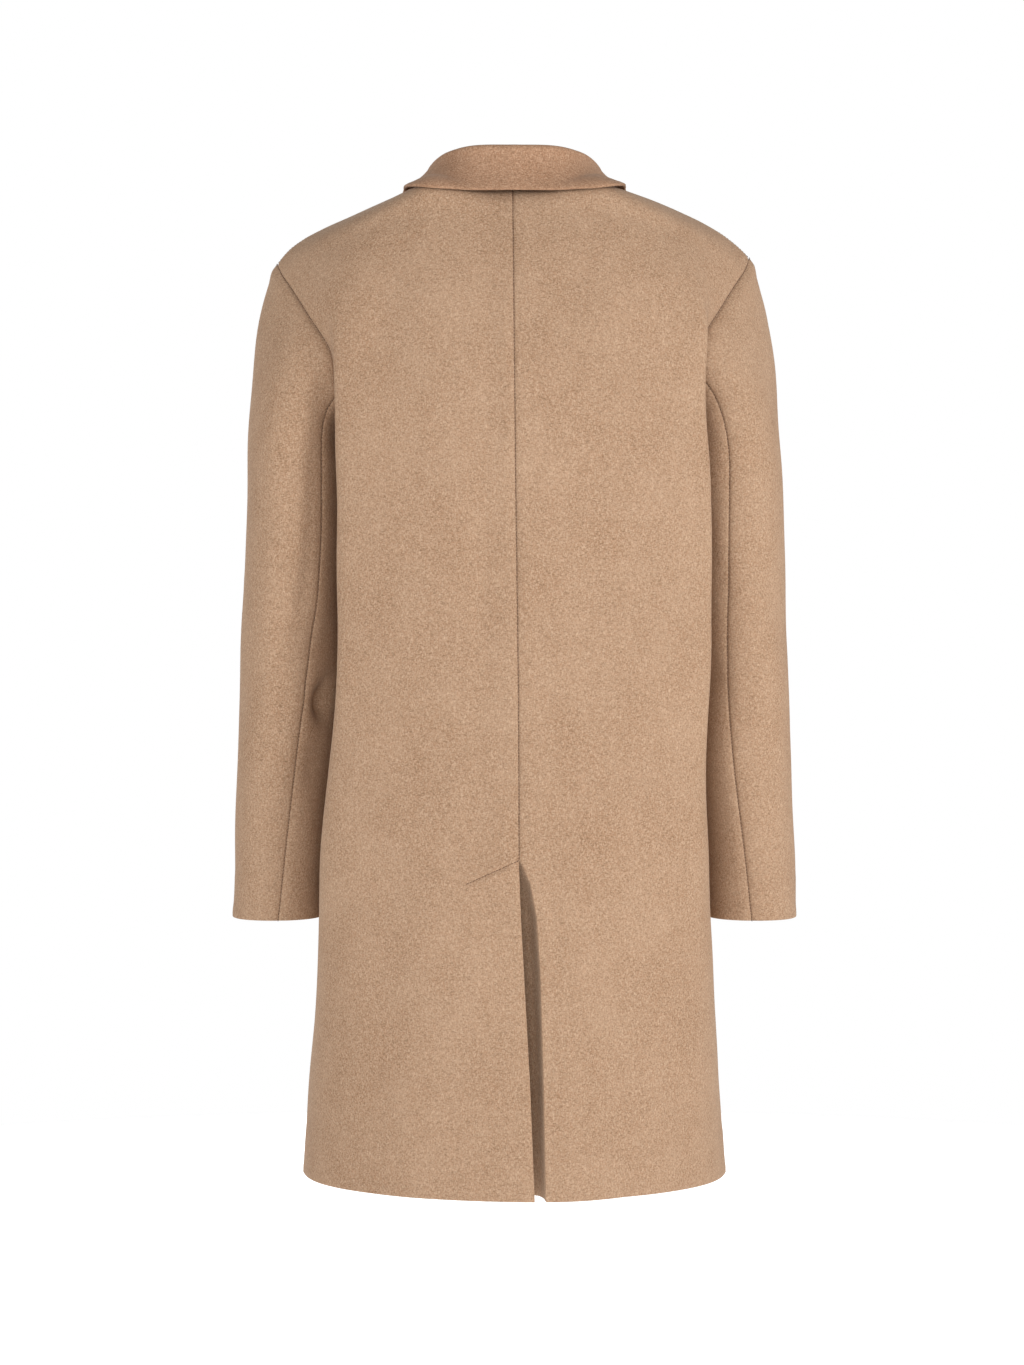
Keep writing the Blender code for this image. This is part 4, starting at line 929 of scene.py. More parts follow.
# ---------------------------------------------------------------- sewing by geometry nodes
@dataclass(frozen=True)
class Sewing:
    """Stitches laid at even steps along a path by a geometry-node tree."""

    step: float = 0.0031
    length: float = 0.0026
    radius: float = 0.00032
    jitter: float = 0.16

    def tree(self, name: str, material: bpy.types.Material) -> bpy.types.NodeTree:
        """Build the tree that turns path edges into stitches.

        Args:
            name: name of the tree.
            material: the thread's finish.

        Returns:
            The geometry-node tree with inputs for step, length, radius and jitter.
        """
        tree = bpy.data.node_groups.new(name, "GeometryNodeTree")
        for label, way, kind in (("Geometry", "INPUT", "Geometry"), ("Step", "INPUT", "Float"),
                                 ("Length", "INPUT", "Float"), ("Radius", "INPUT", "Float"),
                                 ("Jitter", "INPUT", "Float"), ("Seed", "INPUT", "Int"),
                                 ("Geometry", "OUTPUT", "Geometry")):
            tree.interface.new_socket(label, in_out=way, socket_type="NodeSocket" + kind)
        links = tree.links
        (source, result, curve, even, tangent, bead, align, shake,
         low, high, turned, half, size, place, real, finish) = (tree.nodes.new(kind) for kind in (
                "NodeGroupInput", "NodeGroupOutput", "GeometryNodeMeshToCurve", "GeometryNodeResampleCurve",
                "GeometryNodeInputTangent", "GeometryNodeMeshUVSphere", "FunctionNodeAlignRotationToVector",
                "FunctionNodeRandomValue", "ShaderNodeVectorMath", "ShaderNodeVectorMath",
                "ShaderNodeVectorMath", "ShaderNodeMath", "ShaderNodeCombineXYZ",
                "GeometryNodeInstanceOnPoints", "GeometryNodeRealizeInstances",
                "GeometryNodeSetMaterial"))
        even.mode, align.axis, shake.data_type = "LENGTH", "X", "FLOAT_VECTOR"
        bead.inputs["Segments"].default_value = 6
        bead.inputs["Rings"].default_value = 4
        bead.inputs["Radius"].default_value = 1.0
        for node, sign in ((low, -1.0), (high, 1.0)):
            node.operation = "SCALE"
            node.inputs[0].default_value = (sign, sign, sign)
        turned.operation, half.operation = "ADD", "MULTIPLY"
        half.inputs[1].default_value = 0.5
        finish.inputs["Material"].default_value = material
        for start, end in (
                (source.outputs["Geometry"], curve.inputs["Mesh"]),
                (curve.outputs["Curve"], even.inputs["Curve"]),
                (source.outputs["Step"], even.inputs["Length"]),
                (even.outputs["Curve"], place.inputs["Points"]),
                (bead.outputs["Mesh"], place.inputs["Instance"]),
                (source.outputs["Jitter"], low.inputs["Scale"]),
                (source.outputs["Jitter"], high.inputs["Scale"]),
                (low.outputs[0], shake.inputs["Min"]),
                (high.outputs[0], shake.inputs["Max"]),
                (source.outputs["Seed"], shake.inputs["Seed"]),
                (tangent.outputs["Tangent"], turned.inputs[0]),
                (shake.outputs["Value"], turned.inputs[1]),
                (turned.outputs[0], align.inputs["Vector"]),
                (align.outputs["Rotation"], place.inputs["Rotation"]),
                (source.outputs["Length"], half.inputs[0]),
                (half.outputs[0], size.inputs["X"]),
                (source.outputs["Radius"], size.inputs["Y"]),
                (source.outputs["Radius"], size.inputs["Z"]),
                (size.outputs[0], place.inputs["Scale"]),
                (place.outputs["Instances"], real.inputs["Geometry"]),
                (real.outputs["Geometry"], finish.inputs["Geometry"]),
                (finish.outputs["Geometry"], result.inputs["Geometry"])):
            links.new(start, end)
        return tree

    def lay(self, name: str, paths: Sequence[Array], material: bpy.types.Material,
            seed: int = 7) -> bpy.types.Object:
        """Lay stitches along paths.

        Args:
            name: the piece's name.
            paths: points of each path.
            material: the thread's finish.
            seed: seed of the stitches' small turns.

        Returns:
            The stitches as one plain mesh.
        """
        points = np.concatenate(paths)
        edges, start = [], 0
        for path in paths:
            edges += [(start + index, start + index + 1) for index in range(len(path) - 1)]
            start += len(path)
        mesh = bpy.data.meshes.new(name + "_path")
        mesh.from_pydata([tuple(point) for point in points], edges, [])
        guide = link(name + "_path", mesh, material)
        tree = self.tree(name + "_tree", material)
        modifier = guide.modifiers.new("sewing", "NODES")
        modifier.node_group = tree
        inputs = {item.name: item.identifier for item in tree.interface.items_tree
                  if item.item_type == "SOCKET" and item.in_out == "INPUT"}
        for label, value in (("Step", self.step), ("Length", self.length), ("Radius", self.radius),
                             ("Jitter", self.jitter), ("Seed", seed)):
            modifier[inputs[label]] = value
        return bake(guide, name, material)


def bake(source: bpy.types.Object, name: str, material: bpy.types.Material) -> bpy.types.Object:
    """Turn an object with live modifiers into a plain smooth mesh and remove the object."""
    graph = bpy.context.evaluated_depsgraph_get()
    mesh = bpy.data.meshes.new_from_object(source.evaluated_get(graph))
    mesh.name = name
    bpy.data.objects.remove(source, do_unlink=True)
    mesh.shade_smooth()
    return link(name, mesh, material)


# ---------------------------------------------------------------- body
@dataclass
class BodyPanel:
    """One of the four body panels, cut from shoulder to hem."""

    cut: Cut
    side: Side
    wool: bpy.types.Material
    rows: int = 190
    columns: int = 84
    underlap_reach: float = 0.045
    underlap_rise: float = 0.0012
    underlap_top: float = -0.640
    ridges: tuple[tuple[float, float, float], ...] = (
        (0.0042, 0.0010, 0.0034), (0.0, -0.0016, 0.0013), (-0.0046, 0.0008, 0.0036))
    lap_shares: tuple[float, ...] = (1.0, 0.99, 0.93, 0.8, 0.6, 0.4, 0.25, 0.15, 0.09, 0.05, 0.022, 0.008)
    lap_curve: tuple[tuple[float, float], ...] = ((0.35, 0.07), (0.65, 0.22))
    turn_in: float = 0.045
    turn_rise: tuple[float, float] = (0.00035, 0.006)
    turn_line: tuple[float, float, float] = (0.00030, 0.002, 0.004)
    beside_fold: tuple[float, ...] = (-0.03, -0.018, -0.009, 0.0, 0.009, 0.018, 0.03)
    slant_shares: tuple[float, float, float] = (0.036, 0.250, 0.006)
    slant_levels: tuple[float, float, float] = (-0.6785, -0.6535, 0.0013)
    grid: Array = field(init=False, default=None)
    levels: Array = field(init=False, default=None)
    shares: Array = field(init=False, default=None)

    @property
    def name(self) -> str:
        """The panel's name, which is its solid's."""
        return "%s_%s" % (self.cut.value, self.side.word)

    def relief(self, grid: Array) -> Array:
        """Height of creases, hand and hem turning over the form."""
        height = HAND.relief(self.name, grid[..., 0], grid[..., 2])
        up = self.levels[:, None] - FORM.hem
        past = up - self.turn_in
        rise, run = self.turn_rise
        deep, place, width = self.turn_line
        hem = rise * (1 - ease(past / run)) - deep * np.exp(-((past - place) / width) ** 2)
        fade = ease(self.shares / 0.04) * ease((1 - self.shares) / 0.04)
        top = ease((FORM.top - self.levels) / 0.02)[:, None]
        return height * fade[None, :] * top * ease(up / 0.02) + hem

    def underlap(self, grid: Array) -> tuple[Array, int]:
        """Columns of the vent's underlap beside the fold of the right panel.

        Args:
            grid: the panel's points.

        Returns:
            The columns, outermost first, and the number of rows that have them.
        """
        recess = np.interp(self.levels, VENT_ROWS[:, 0], VENT_ROWS[:, 3])
        columns = []
        for share in self.lap_shares:
            column = grid[:, 0].copy()
            deep = sum(part * ease(share / run) for part, run in self.lap_curve)
            column[:, 0] += self.underlap_reach * share
            column[:, 1] -= recess * deep
            near_hem = 1 - ease((self.levels - FORM.hem) / 0.02)
            column[:, 2] += self.underlap_rise * ease(share / 0.05) * near_hem
            columns.append(column)
        return np.stack(columns, 1), int(np.sum(self.levels <= FORM.vent + 1e-9))

    def build(self) -> None:
        back = self.cut is Cut.BACK
        fold = [FORM.fold_at + step for step in self.beside_fold] if back else []
        levels = [FORM.vent, -0.648, FORM.gorge]
        if self.name == "back_left":
            fold += list(np.arange(*self.slant_shares))
            levels += list(np.arange(*self.slant_levels))
        self.shares = stations(0.0, 1.0, self.columns, SHARES, extra=fold)
        self.levels = stations(FORM.hem, FORM.top, self.rows, FINE, extra=levels)
        grid = FORM.points(self.cut, self.side, self.levels[:, None], self.shares[None, :])
        centre = np.array([0.0, 0.0, -0.3])
        grid = grid + grid_normals(grid, centre) * self.relief(grid)[..., None]
        mask, reach = None, None
        lead, vent_rows = 0, 0
        first = Edge.SEAM if back else Edge.ROLLED
        if back:
            grid = self.vent_ridges(grid)
        if self.name == "back_right":
            lap, vent_rows = self.underlap(grid)
            lead = lap.shape[1]
            grid = np.concatenate([lap, grid], 1)
            mask = np.ones((grid.shape[0] - 1, grid.shape[1] - 1), bool)
            mask[int(np.sum(self.levels < self.underlap_top)):, :lead] = False
            reach = lengths(grid, 1)
            reach = np.where(self.levels[:, None] > FORM.vent, np.abs(reach - reach[:, lead:lead + 1]), reach)
        elif back:
            reach = lengths(grid, 1)
        normals = grid_normals(grid, centre)
        if lead:
            normals[vent_rows:, lead:] = grid_normals(grid[:, lead:], centre)[vent_rows:]
        wall = Wall(self.name + "_cloth", grid, normals, FORM.cloth - 0.0002, Edge.ROLLED, Edge.SEAM, first,
                    Edge.SEAM, mask=mask, column_reach=reach)
        self.grid = grid
        sew(wall, self.wool, self.name, grid)

    def vent_ridges(self, grid: Array) -> Array:
        """Raise the soft ridges beside the slanted sewing at the vent's top."""
        if self.side is Side.RIGHT:
            return grid
        relief = np.zeros(grid.shape[:2])
        for drop, height, width in self.ridges:
            path = ((-0.006, -0.6472 + drop), (0.020, -0.6592 + drop), (0.0470, -0.6712 + drop))
            relief += Crease(path, height, width, 0.1).relief(grid[..., 0], grid[..., 2])
        grid = grid.copy()
        grid[..., 1] += relief
        return grid


# ---------------------------------------------------------------- sleeves
@dataclass
class Sleeve:
    """A two-piece sleeve set into the armhole."""

    side: Side
    wool: bpy.types.Material
    around: int = 50
    beside: tuple[float, ...] = (0.0006, 0.0016, 0.003, 0.005)
    head_rows: int = 26
    rows: int = 100
    cuff: float = -0.715
    head_end: float = -0.285
    slope_over: float = 0.05
    head_steps: tuple[float, ...] = (0.0, 0.003, 0.008, 0.015, 0.026, 0.040)
    head_even: float = 0.06
    spring: tuple[float, float] = (0.95, 0.57)
    fall: tuple[float, float] = (0.35, 0.57)
    lean: tuple[float, float] = (0.45, 0.35)
    boxy: float = 0.9
    cuff_turning: tuple[float, float, float] = (0.0003, 0.040, 0.006)
    cap_roll: tuple[float, float, float] = (0.0013, 0.010, 0.007)
    fore: float = -0.157
    hinds: tuple[float, float] = (-0.180, -0.157)
    hind_angles: tuple[float, float] = (132.0, 108.0)
    allowance: tuple[float, float, float, float] = (0.0032, 0.0030, 0.0050, 0.6)
    grid: Array = field(init=False, default=None)
    hind_column: int = field(init=False, default=0)
    fore_column: int = field(init=False, default=0)
    armhole: list[tuple[Cut, Array]] = field(init=False, default_factory=list)

    def tuck(self, edge: Array, facing: Array) -> tuple[Array, Array]:
        """Seam allowance that lies under the body's armhole edge.

        Args:
            edge: points of the sleeve's closed top edge.
            facing: normals of the sleeve there.

        Returns:
            Two rows of points, the deeper one first, and their normals.
        """
        normals, inward = [], []
        for cut, levels in self.armhole:
            _, normal, towards = FORM.frames(cut, self.side, levels, np.full(len(levels), 0.998))
            normals.append(normal)
            inward.append(towards)
        normals, inward = (np.concatenate(items + [items[0][:1]]) for items in (normals, inward))
        deep, near, reach, share = self.allowance
        rows = np.stack([edge - normals * deep + inward * reach, edge - normals * near])
        return rows, np.stack([normals, unit(normals + share * facing)])

    def ring(self, z: Array, angles: Array) -> tuple[Array, Array]:
        """Rings of the sleeve and the turned angle of each point.

        Args:
            z: heights of the rings.
            angles: angles round the sleeve, from the shoulder through the back.

        Returns:
            The points and their turned angles.
        """
        row = spline(SLEEVE_ROWS[:, 0], SLEEVE_ROWS, z)
        x, y, half_w, half_d = (row[:, i, None] for i in (1, 2, 3, 4))
        turned = angles[None, :] + row[:, 5 if self.side is Side.LEFT else 6, None]
        radius = np.ones_like(turned)
        for fold in SLEEVE_FOLDS:
            if fold.side is self.side:
                across = (turned - fold.angle) / fold.spread
                radius -= fold.depth / half_w * np.exp(-across**2 - ((z[:, None] - fold.z) / fold.reach) ** 2)
        turn = np.radians(turned)
        bend = np.abs(np.cos(turn)) ** self.boxy * np.sign(np.cos(turn))
        points = np.stack([x + half_w * bend * radius, y + half_d * np.sin(turn) * radius,
                           np.broadcast_to(z[:, None], turned.shape)], -1)
        points[..., 0] *= self.side.value
        return points, turned

    def form(self) -> tuple[Array, Array]:
        """Loft the sleeve from the armhole to the cuff.

        Returns:
            Rows of points from the armhole down, and the angle of each point.
        """
        number = 0 if self.side is Side.LEFT else 1
        hind, hind_angle = self.hinds[number], self.hind_angles[number]
        around_seam = (0, *self.beside, *(-step for step in self.beside))
        back, front = (stations(FORM.underarm, FORM.top, self.around, self.beside, both=False,
                                extra=[seam + step for step in around_seam])[::-1]
                       for seam in (hind, self.fore))
        loop = np.concatenate([FORM.points(Cut.BACK, self.side, back, np.ones(len(back))),
                               FORM.points(Cut.FRONT, self.side, front, np.ones(len(front)))[-2:0:-1]])
        self.armhole = [(Cut.BACK, back), (Cut.FRONT, front[-2:0:-1])]
        self.hind_column = int(np.argmin(np.abs(back - hind)))
        self.fore_column = len(loop) - int(np.argmin(np.abs(front - self.fore)))
        along = np.concatenate([[0.0], np.cumsum(np.linalg.norm(np.roll(loop, -1, axis=0) - loop, axis=1))])
        underarm = len(back) - 1
        places = (0.0, along[self.hind_column], along[underarm], along[-1])
        angles = np.interp(along[:-1], places, (0.0, hind_angle, 180.0, 360.0))
        heights = stations(self.cuff, self.head_end, self.rows, FINE, both=False)[::-1]
        below, turned = self.ring(heights, angles)
        first = below[0]
        slope = unit(self.ring(np.array([self.head_end - self.slope_over]), angles)[0][0] - first)
        top = (1 + np.cos(np.radians(angles))) / 2
        sideways = self.lean[0] * np.sin(np.radians(angles)) * (top - self.lean[1])
        leave = np.stack([self.spring[0] - self.spring[1] * top, sideways,
                          -self.fall[0] - self.fall[1] * top], -1)
        leave[:, 0] *= self.side.value
        reach = np.linalg.norm(first - loop, axis=1, keepdims=True)
        steps = np.array([*self.head_steps, *np.linspace(self.head_even, 1.0, self.head_rows)[:-1]])
        rows = [hermite(t, loop, first, reach, unit(leave), slope) for t in steps]
        return (np.concatenate([np.array(rows), below]),
                np.concatenate([np.tile(turned[0], (len(steps), 1)), turned]))

    def relief(self, grid: Array, turned: Array) -> Array:
        """Height of creases, hand and cuff turning over the form."""
        height = HAND.relief("sleeve_" + self.side.word, turned * 0.001, grid[..., 2])
        below = lengths(grid, 0)
        above = below[-1] - below
        rise, place, width = self.cap_roll
        roll = rise * np.exp(-((below - place) / width) ** 2) * np.cos(np.radians(turned) / 2) ** 2
        rise, place, width = self.cuff_turning
        turning = rise * (1 - ease((above - place) / width))
        return height * ease(below / 0.03) * ease(above / 0.02) + roll + turning

    @staticmethod
    def tube_normals(closed: Array, middle: Array) -> Array:
        """Normals of a tube whose first and last columns are one line."""
        normals = grid_normals(closed, middle)
        seam = unit(normals[:, 0] + normals[:, -1])
        normals[:, 0], normals[:, -1] = seam, seam
        return normals

    def build(self) -> None:
        grid, turned = self.form()
        closed = np.concatenate([grid, grid[:, :1]], 1)
        middle = closed[:, :-1].mean(axis=1, keepdims=True)
        height = self.relief(grid, turned)
        height = np.concatenate([height, height[:, :1]], 1)
        closed = closed + self.tube_normals(closed, middle) * height[..., None]
        ripples = self.tube_normals(closed, middle)
        self.grid = closed
        count = grid.shape[1]
        over = list(range(self.fore_column, count)) + list(range(0, self.hind_column + 1))
        under = list(range(self.hind_column, self.fore_column + 1))
        tucked, facing = self.tuck(closed[0], ripples[0])
        whole, outward = np.concatenate([tucked, closed]), np.concatenate([facing, ripples])
        reach = lengths(whole, 0)
        reach = np.abs(reach - reach[2])
        for part, columns in (("upper", over), ("under", under)):
            name = "sleeve_%s_%s" % (self.side.word, part)
            wall = Wall(name + "_cloth", whole[:, columns], outward[:, columns], FORM.cloth - 0.0002,
                        Edge.SEAM, Edge.ROLLED, Edge.SEAM, Edge.SEAM, row_reach=reach[:, columns])
            sew(wall, self.wool, name, closed[:, columns])


# ---------------------------------------------------------------- lapels and collar
def roll_over(start: Array, lead: Array, facing: Array, radius: float, count: int) -> tuple[Array, Array]:
    """Half circle that turns cloth over.

    Args:
        start: where the turn begins.
        lead: direction in which the cloth arrives.
        facing: direction in which it turns.
        radius: radius of the turn.
        count: number of points.

    Returns:
        Points on the middle of the cloth and normals of its upper side.
    """
    turns = np.linspace(0, math.pi, count)[:, None]
    normals = -facing * np.cos(turns) + lead * np.sin(turns)
    return start + facing * radius + normals * radius, normals


@dataclass
class Lapel:
    """A notch lapel turned back on its front."""

    side: Side
    wool: bpy.types.Material
    rows: int = 90
    leaf: int = 34
    gaps: tuple[float, float] = (0.0014, 0.0036)
    clear: float = 0.0002
    roll: float = 0.0020
    roll_points: int = 12
    gorge_gap: float = 0.0012
    grow_over: float = 0.05
    leaf_fine: tuple[float, ...] = (0.003, 0.008, 0.015, 0.026, 0.045)

    def build(self) -> None:
        gap = self.gaps[0 if self.side is Side.LEFT else 1]
        table = LAPEL_ROWS[self.side]
        levels = stations(table[0, 0], FORM.gorge, self.rows, FINE)
        steps = stations(0.0, 1.0, self.leaf, self.leaf_fine)[1:]
        middle, upper = [], []
        for roll_level, edge_share, edge_level in spline(table[:, 0], table, levels):
            edge, normal, inward = (item[0] for item in FORM.frames(
                Cut.FRONT, self.side, np.array([roll_level]), np.array([0.0])))
            inward = unit(inward - normal * np.dot(normal, inward))
            grow = min((roll_level - table[0, 0]) / self.grow_over, 1.0)
            radius = (FORM.cloth + gap) / 2 + self.roll * grow
            start = edge - normal * FORM.cloth / 2 + inward * self.clear
            points, normals = roll_over(start, inward, normal, radius, self.roll_points)
            levels_out = roll_level + (edge_level - roll_level) * steps
            here, leaf_normals, _ = FORM.frames(Cut.FRONT, self.side, levels_out, edge_share * steps)
            rest = gap + FORM.doubled / 2
            height = rest + (2 * radius - FORM.cloth / 2 - rest) * (1 - steps) ** 2
            middle.append(np.concatenate([points, here + leaf_normals * height[:, None]]))
            upper.append(np.concatenate([normals, leaf_normals]))
        middle, upper = np.array(middle), np.array(upper)
        middle[-1] -= unit(middle[-1] - middle[-2]) * self.gorge_gap
        upper = unit(upper)
        wall = Wall("lapel_%s_cloth" % self.side.word, middle + upper * FORM.doubled / 2, upper,
                    FORM.doubled - 0.0001, Edge.ROLLED, Edge.ROLLED, Edge.SEAM, Edge.ROLLED)
        sew(wall, self.wool, "lapel_" + self.side.word, middle)


@dataclass
class Collar:
    """The turned-down collar: its stand, its roll and its fall."""

    wool: bpy.types.Material
    back_stations: int = 40
    front_stations: int = 22
    stand_points: int = 8
    roll_points: int = 14
    gorge_strips: int = 9
    frame_smoothing: int = 8
    lift_smoothing: int = 6
    lift_from: float = -0.16
    lift_samples: tuple[int, int] = (130, 150)
    clear: float = 0.0004
    least_stand: float = 0.0026
    drop: float = 0.35
    leaf_even: tuple[float, int] = (0.92, 26)
    leaf_close: tuple[float, ...] = (0.945, 0.965, 0.98, 0.99, 1.0)
    neck_share: float = 0.70
    roll: float = 0.0036
    lift: float = 0.0026
    gorge_gap: float = 0.0012
    leaf: tuple[tuple[float, float], ...] = ((0.0, -0.050), (0.216, -0.0665), (0.405, -0.0600))

    @property
    def leaf_start(self) -> int:
        """Number of the first point of the fall on a strip."""
        return self.stand_points + self.roll_points

    def strip(self, along: float, row: Array, frame: Sequence[Array]) -> tuple[Array, Array]:
        """One cross strip of the collar.

        Args:
            along: share of the collar's half length.
            row: places of the roll and of the outer edge.
            frame: point, normal and inward direction at the neck seam.

        Returns:
            Points on the middle of the cloth and normals of its upper side.
        """
        neck, normal, inward = frame
        top, fall = row[1:4], row[4:7]
        front = max(along - self.neck_share, 0.0) / (1.0 - self.neck_share)
        rise = unit(unit(top - neck) * (1 - front**2) + inward * front**2)
        height = max(float(np.dot(top - neck, rise)), self.roll) * (1 - front) + self.roll * front
        facing = unit(normal - rise * np.dot(normal, rise))
        start = neck - normal * FORM.cloth / 2 + rise * self.clear
        turn_start = start + rise * max(height - self.roll, self.least_stand)
        steps = np.linspace(0, 1, self.stand_points + 1)[:-1]
        stand = [start + (turn_start - start) * t for t in steps]
        points, normals = roll_over(turn_start, rise, facing, self.roll, self.roll_points)
        length = np.linalg.norm(fall - points[-1])
        control = points[-1] - rise * self.drop * length
        t = np.array([*np.linspace(0, *self.leaf_even)[1:], *self.leaf_close])[:, None]
        leaf = points[-1] * (1 - t) ** 2 + control * 2 * t * (1 - t) + fall * t * t
        middle = np.concatenate([np.array(stand), points, leaf])
        tangent = np.gradient(middle, axis=0)
        upper = unit(np.cross(np.cross(tangent[self.stand_points + 2], normals[3]), tangent))
        guide = np.concatenate([np.tile(-facing, (len(stand), 1)), normals, np.tile(facing, (len(leaf), 1))])
        upper *= np.sign(np.sum(upper * guide, -1))[:, None]
        for index, share in enumerate(steps):
            upper[index] = -unit(normal * (1 - share) + facing * share)
        return middle, upper

    def lifted(self, middle: Array, first: int) -> Array:
        """Lift the fall off the shoulders wherever it would come too close."""
        levels = np.linspace(self.lift_from, FORM.top, self.lift_samples[0])
        shares = np.linspace(0, 1, self.lift_samples[1])
        tree = KDTree(len(Side) * len(Cut) * levels.size * shares.size)
        points, normals = [], []
        for side in Side:
            for cut in Cut:
                here, normal, _ = FORM.frames(cut, side, levels[:, None], shares[None, :] * 0.99)
                points.append(here.reshape(-1, 3))
                normals.append(normal.reshape(-1, 3))
        points, normals = np.concatenate(points), np.concatenate(normals)
        for index, point in enumerate(points):
            tree.insert(Vector(point), index)
        tree.balance()
        clearance = FORM.doubled / 2 + self.lift
        short = np.zeros(middle.shape[:2])
        way = np.zeros(middle.shape)
        for i in range(middle.shape[0]):
            for j in range(first, middle.shape[1]):
                index = tree.find(Vector(middle[i, j]))[1]
                way[i, j] = normals[index]
                height = float(np.dot(middle[i, j] - points[index], normals[index]))
                short[i, j] = max(clearance - height, 0.0)
        for _ in range(self.lift_smoothing):
            short[1:-1] = (short[:-2] + 2 * short[1:-1] + short[2:]) / 4
            way[1:-1] = unit(way[:-2] + 2 * way[1:-1] + way[2:] + 1e-9)
        return middle + way * short[..., None]

    def build(self) -> None:
        shares = np.linspace(0, FORM.seam_neck, self.back_stations)
        levels = stations(FORM.top, FORM.gorge, self.front_stations, FINE[:4])[1:]
        alongs = np.concatenate([self.neck_share * shares / FORM.seam_neck, self.neck_share
                                 + (1 - self.neck_share) * (FORM.top - levels) / (FORM.top - FORM.gorge)])
        middle, upper = [], []
        for side in (Side.RIGHT, Side.LEFT):
            neck = FORM.frames(Cut.BACK, side, np.full(len(shares), FORM.top), shares)
            edge = FORM.frames(Cut.FRONT, side, levels, np.zeros(len(levels)))
            frames = [np.concatenate(pair) for pair in zip(neck, edge)]
            for _ in range(self.frame_smoothing):
                for ways in frames[1:]:
                    ways[1:-1] = unit(ways[:-2] + 2 * ways[1:-1] + ways[2:])
            values = spline(COLLAR_ROWS[:, 0], COLLAR_ROWS, alongs) * (1, side.value, 1, 1, side.value, 1, 1)
            strips = [self.strip(alongs[i], values[i], [item[i] for item in frames])
                      for i in range(len(alongs))]
            strips = strips[::-1] if side is Side.RIGHT else strips[1:]
            middle += [item[0] for item in strips]
            upper += [item[1] for item in strips]
        middle, upper = np.array(middle), np.array(upper)
        middle = self.lifted(middle, self.leaf_start)
        middle = self.gorge_ends(middle)
        middle[0] += unit(middle[1] - middle[0]) * self.gorge_gap
        middle[-1] += unit(middle[-2] - middle[-1]) * self.gorge_gap
        fresh = grid_normals(middle, middle - upper)
        over = slice(self.roll_points, None)
        facing = np.sign(np.sum(fresh[:, over] * upper[:, over], -1, keepdims=True))
        upper[:, over] = unit(fresh[:, over] * facing)
        wall = Wall("collar_cloth", middle + upper * FORM.doubled / 2, upper, FORM.doubled - 0.0001,
                    Edge.ROLLED, Edge.ROLLED, Edge.SEAM, Edge.ROLLED)
        sew(wall, self.wool, "collar", middle)

    def gorge_ends(self, middle: Array) -> Array:
        """Lead the last strips of each end to the gorge line on the front."""
        path = np.array(self.leaf)
        count = middle.shape[1] - self.leaf_start
        shares = path[-1, 0] * np.linspace(0, 1, count + 1)[1:]
        reach = self.gorge_strips
        for side, order in ((Side.RIGHT, range(reach)), (Side.LEFT, range(-1, -reach - 1, -1))):
            here, normals, _ = FORM.frames(Cut.FRONT, side, np.interp(shares, path[:, 0], path[:, 1]), shares)
            goal = here + normals * (FORM.doubled / 2 + self.lift)
            shift = goal - middle[order[0], self.leaf_start:]
            for step, row in enumerate(order):
                middle[row, self.leaf_start:] += shift * ease(1 - step / reach)
        return middle


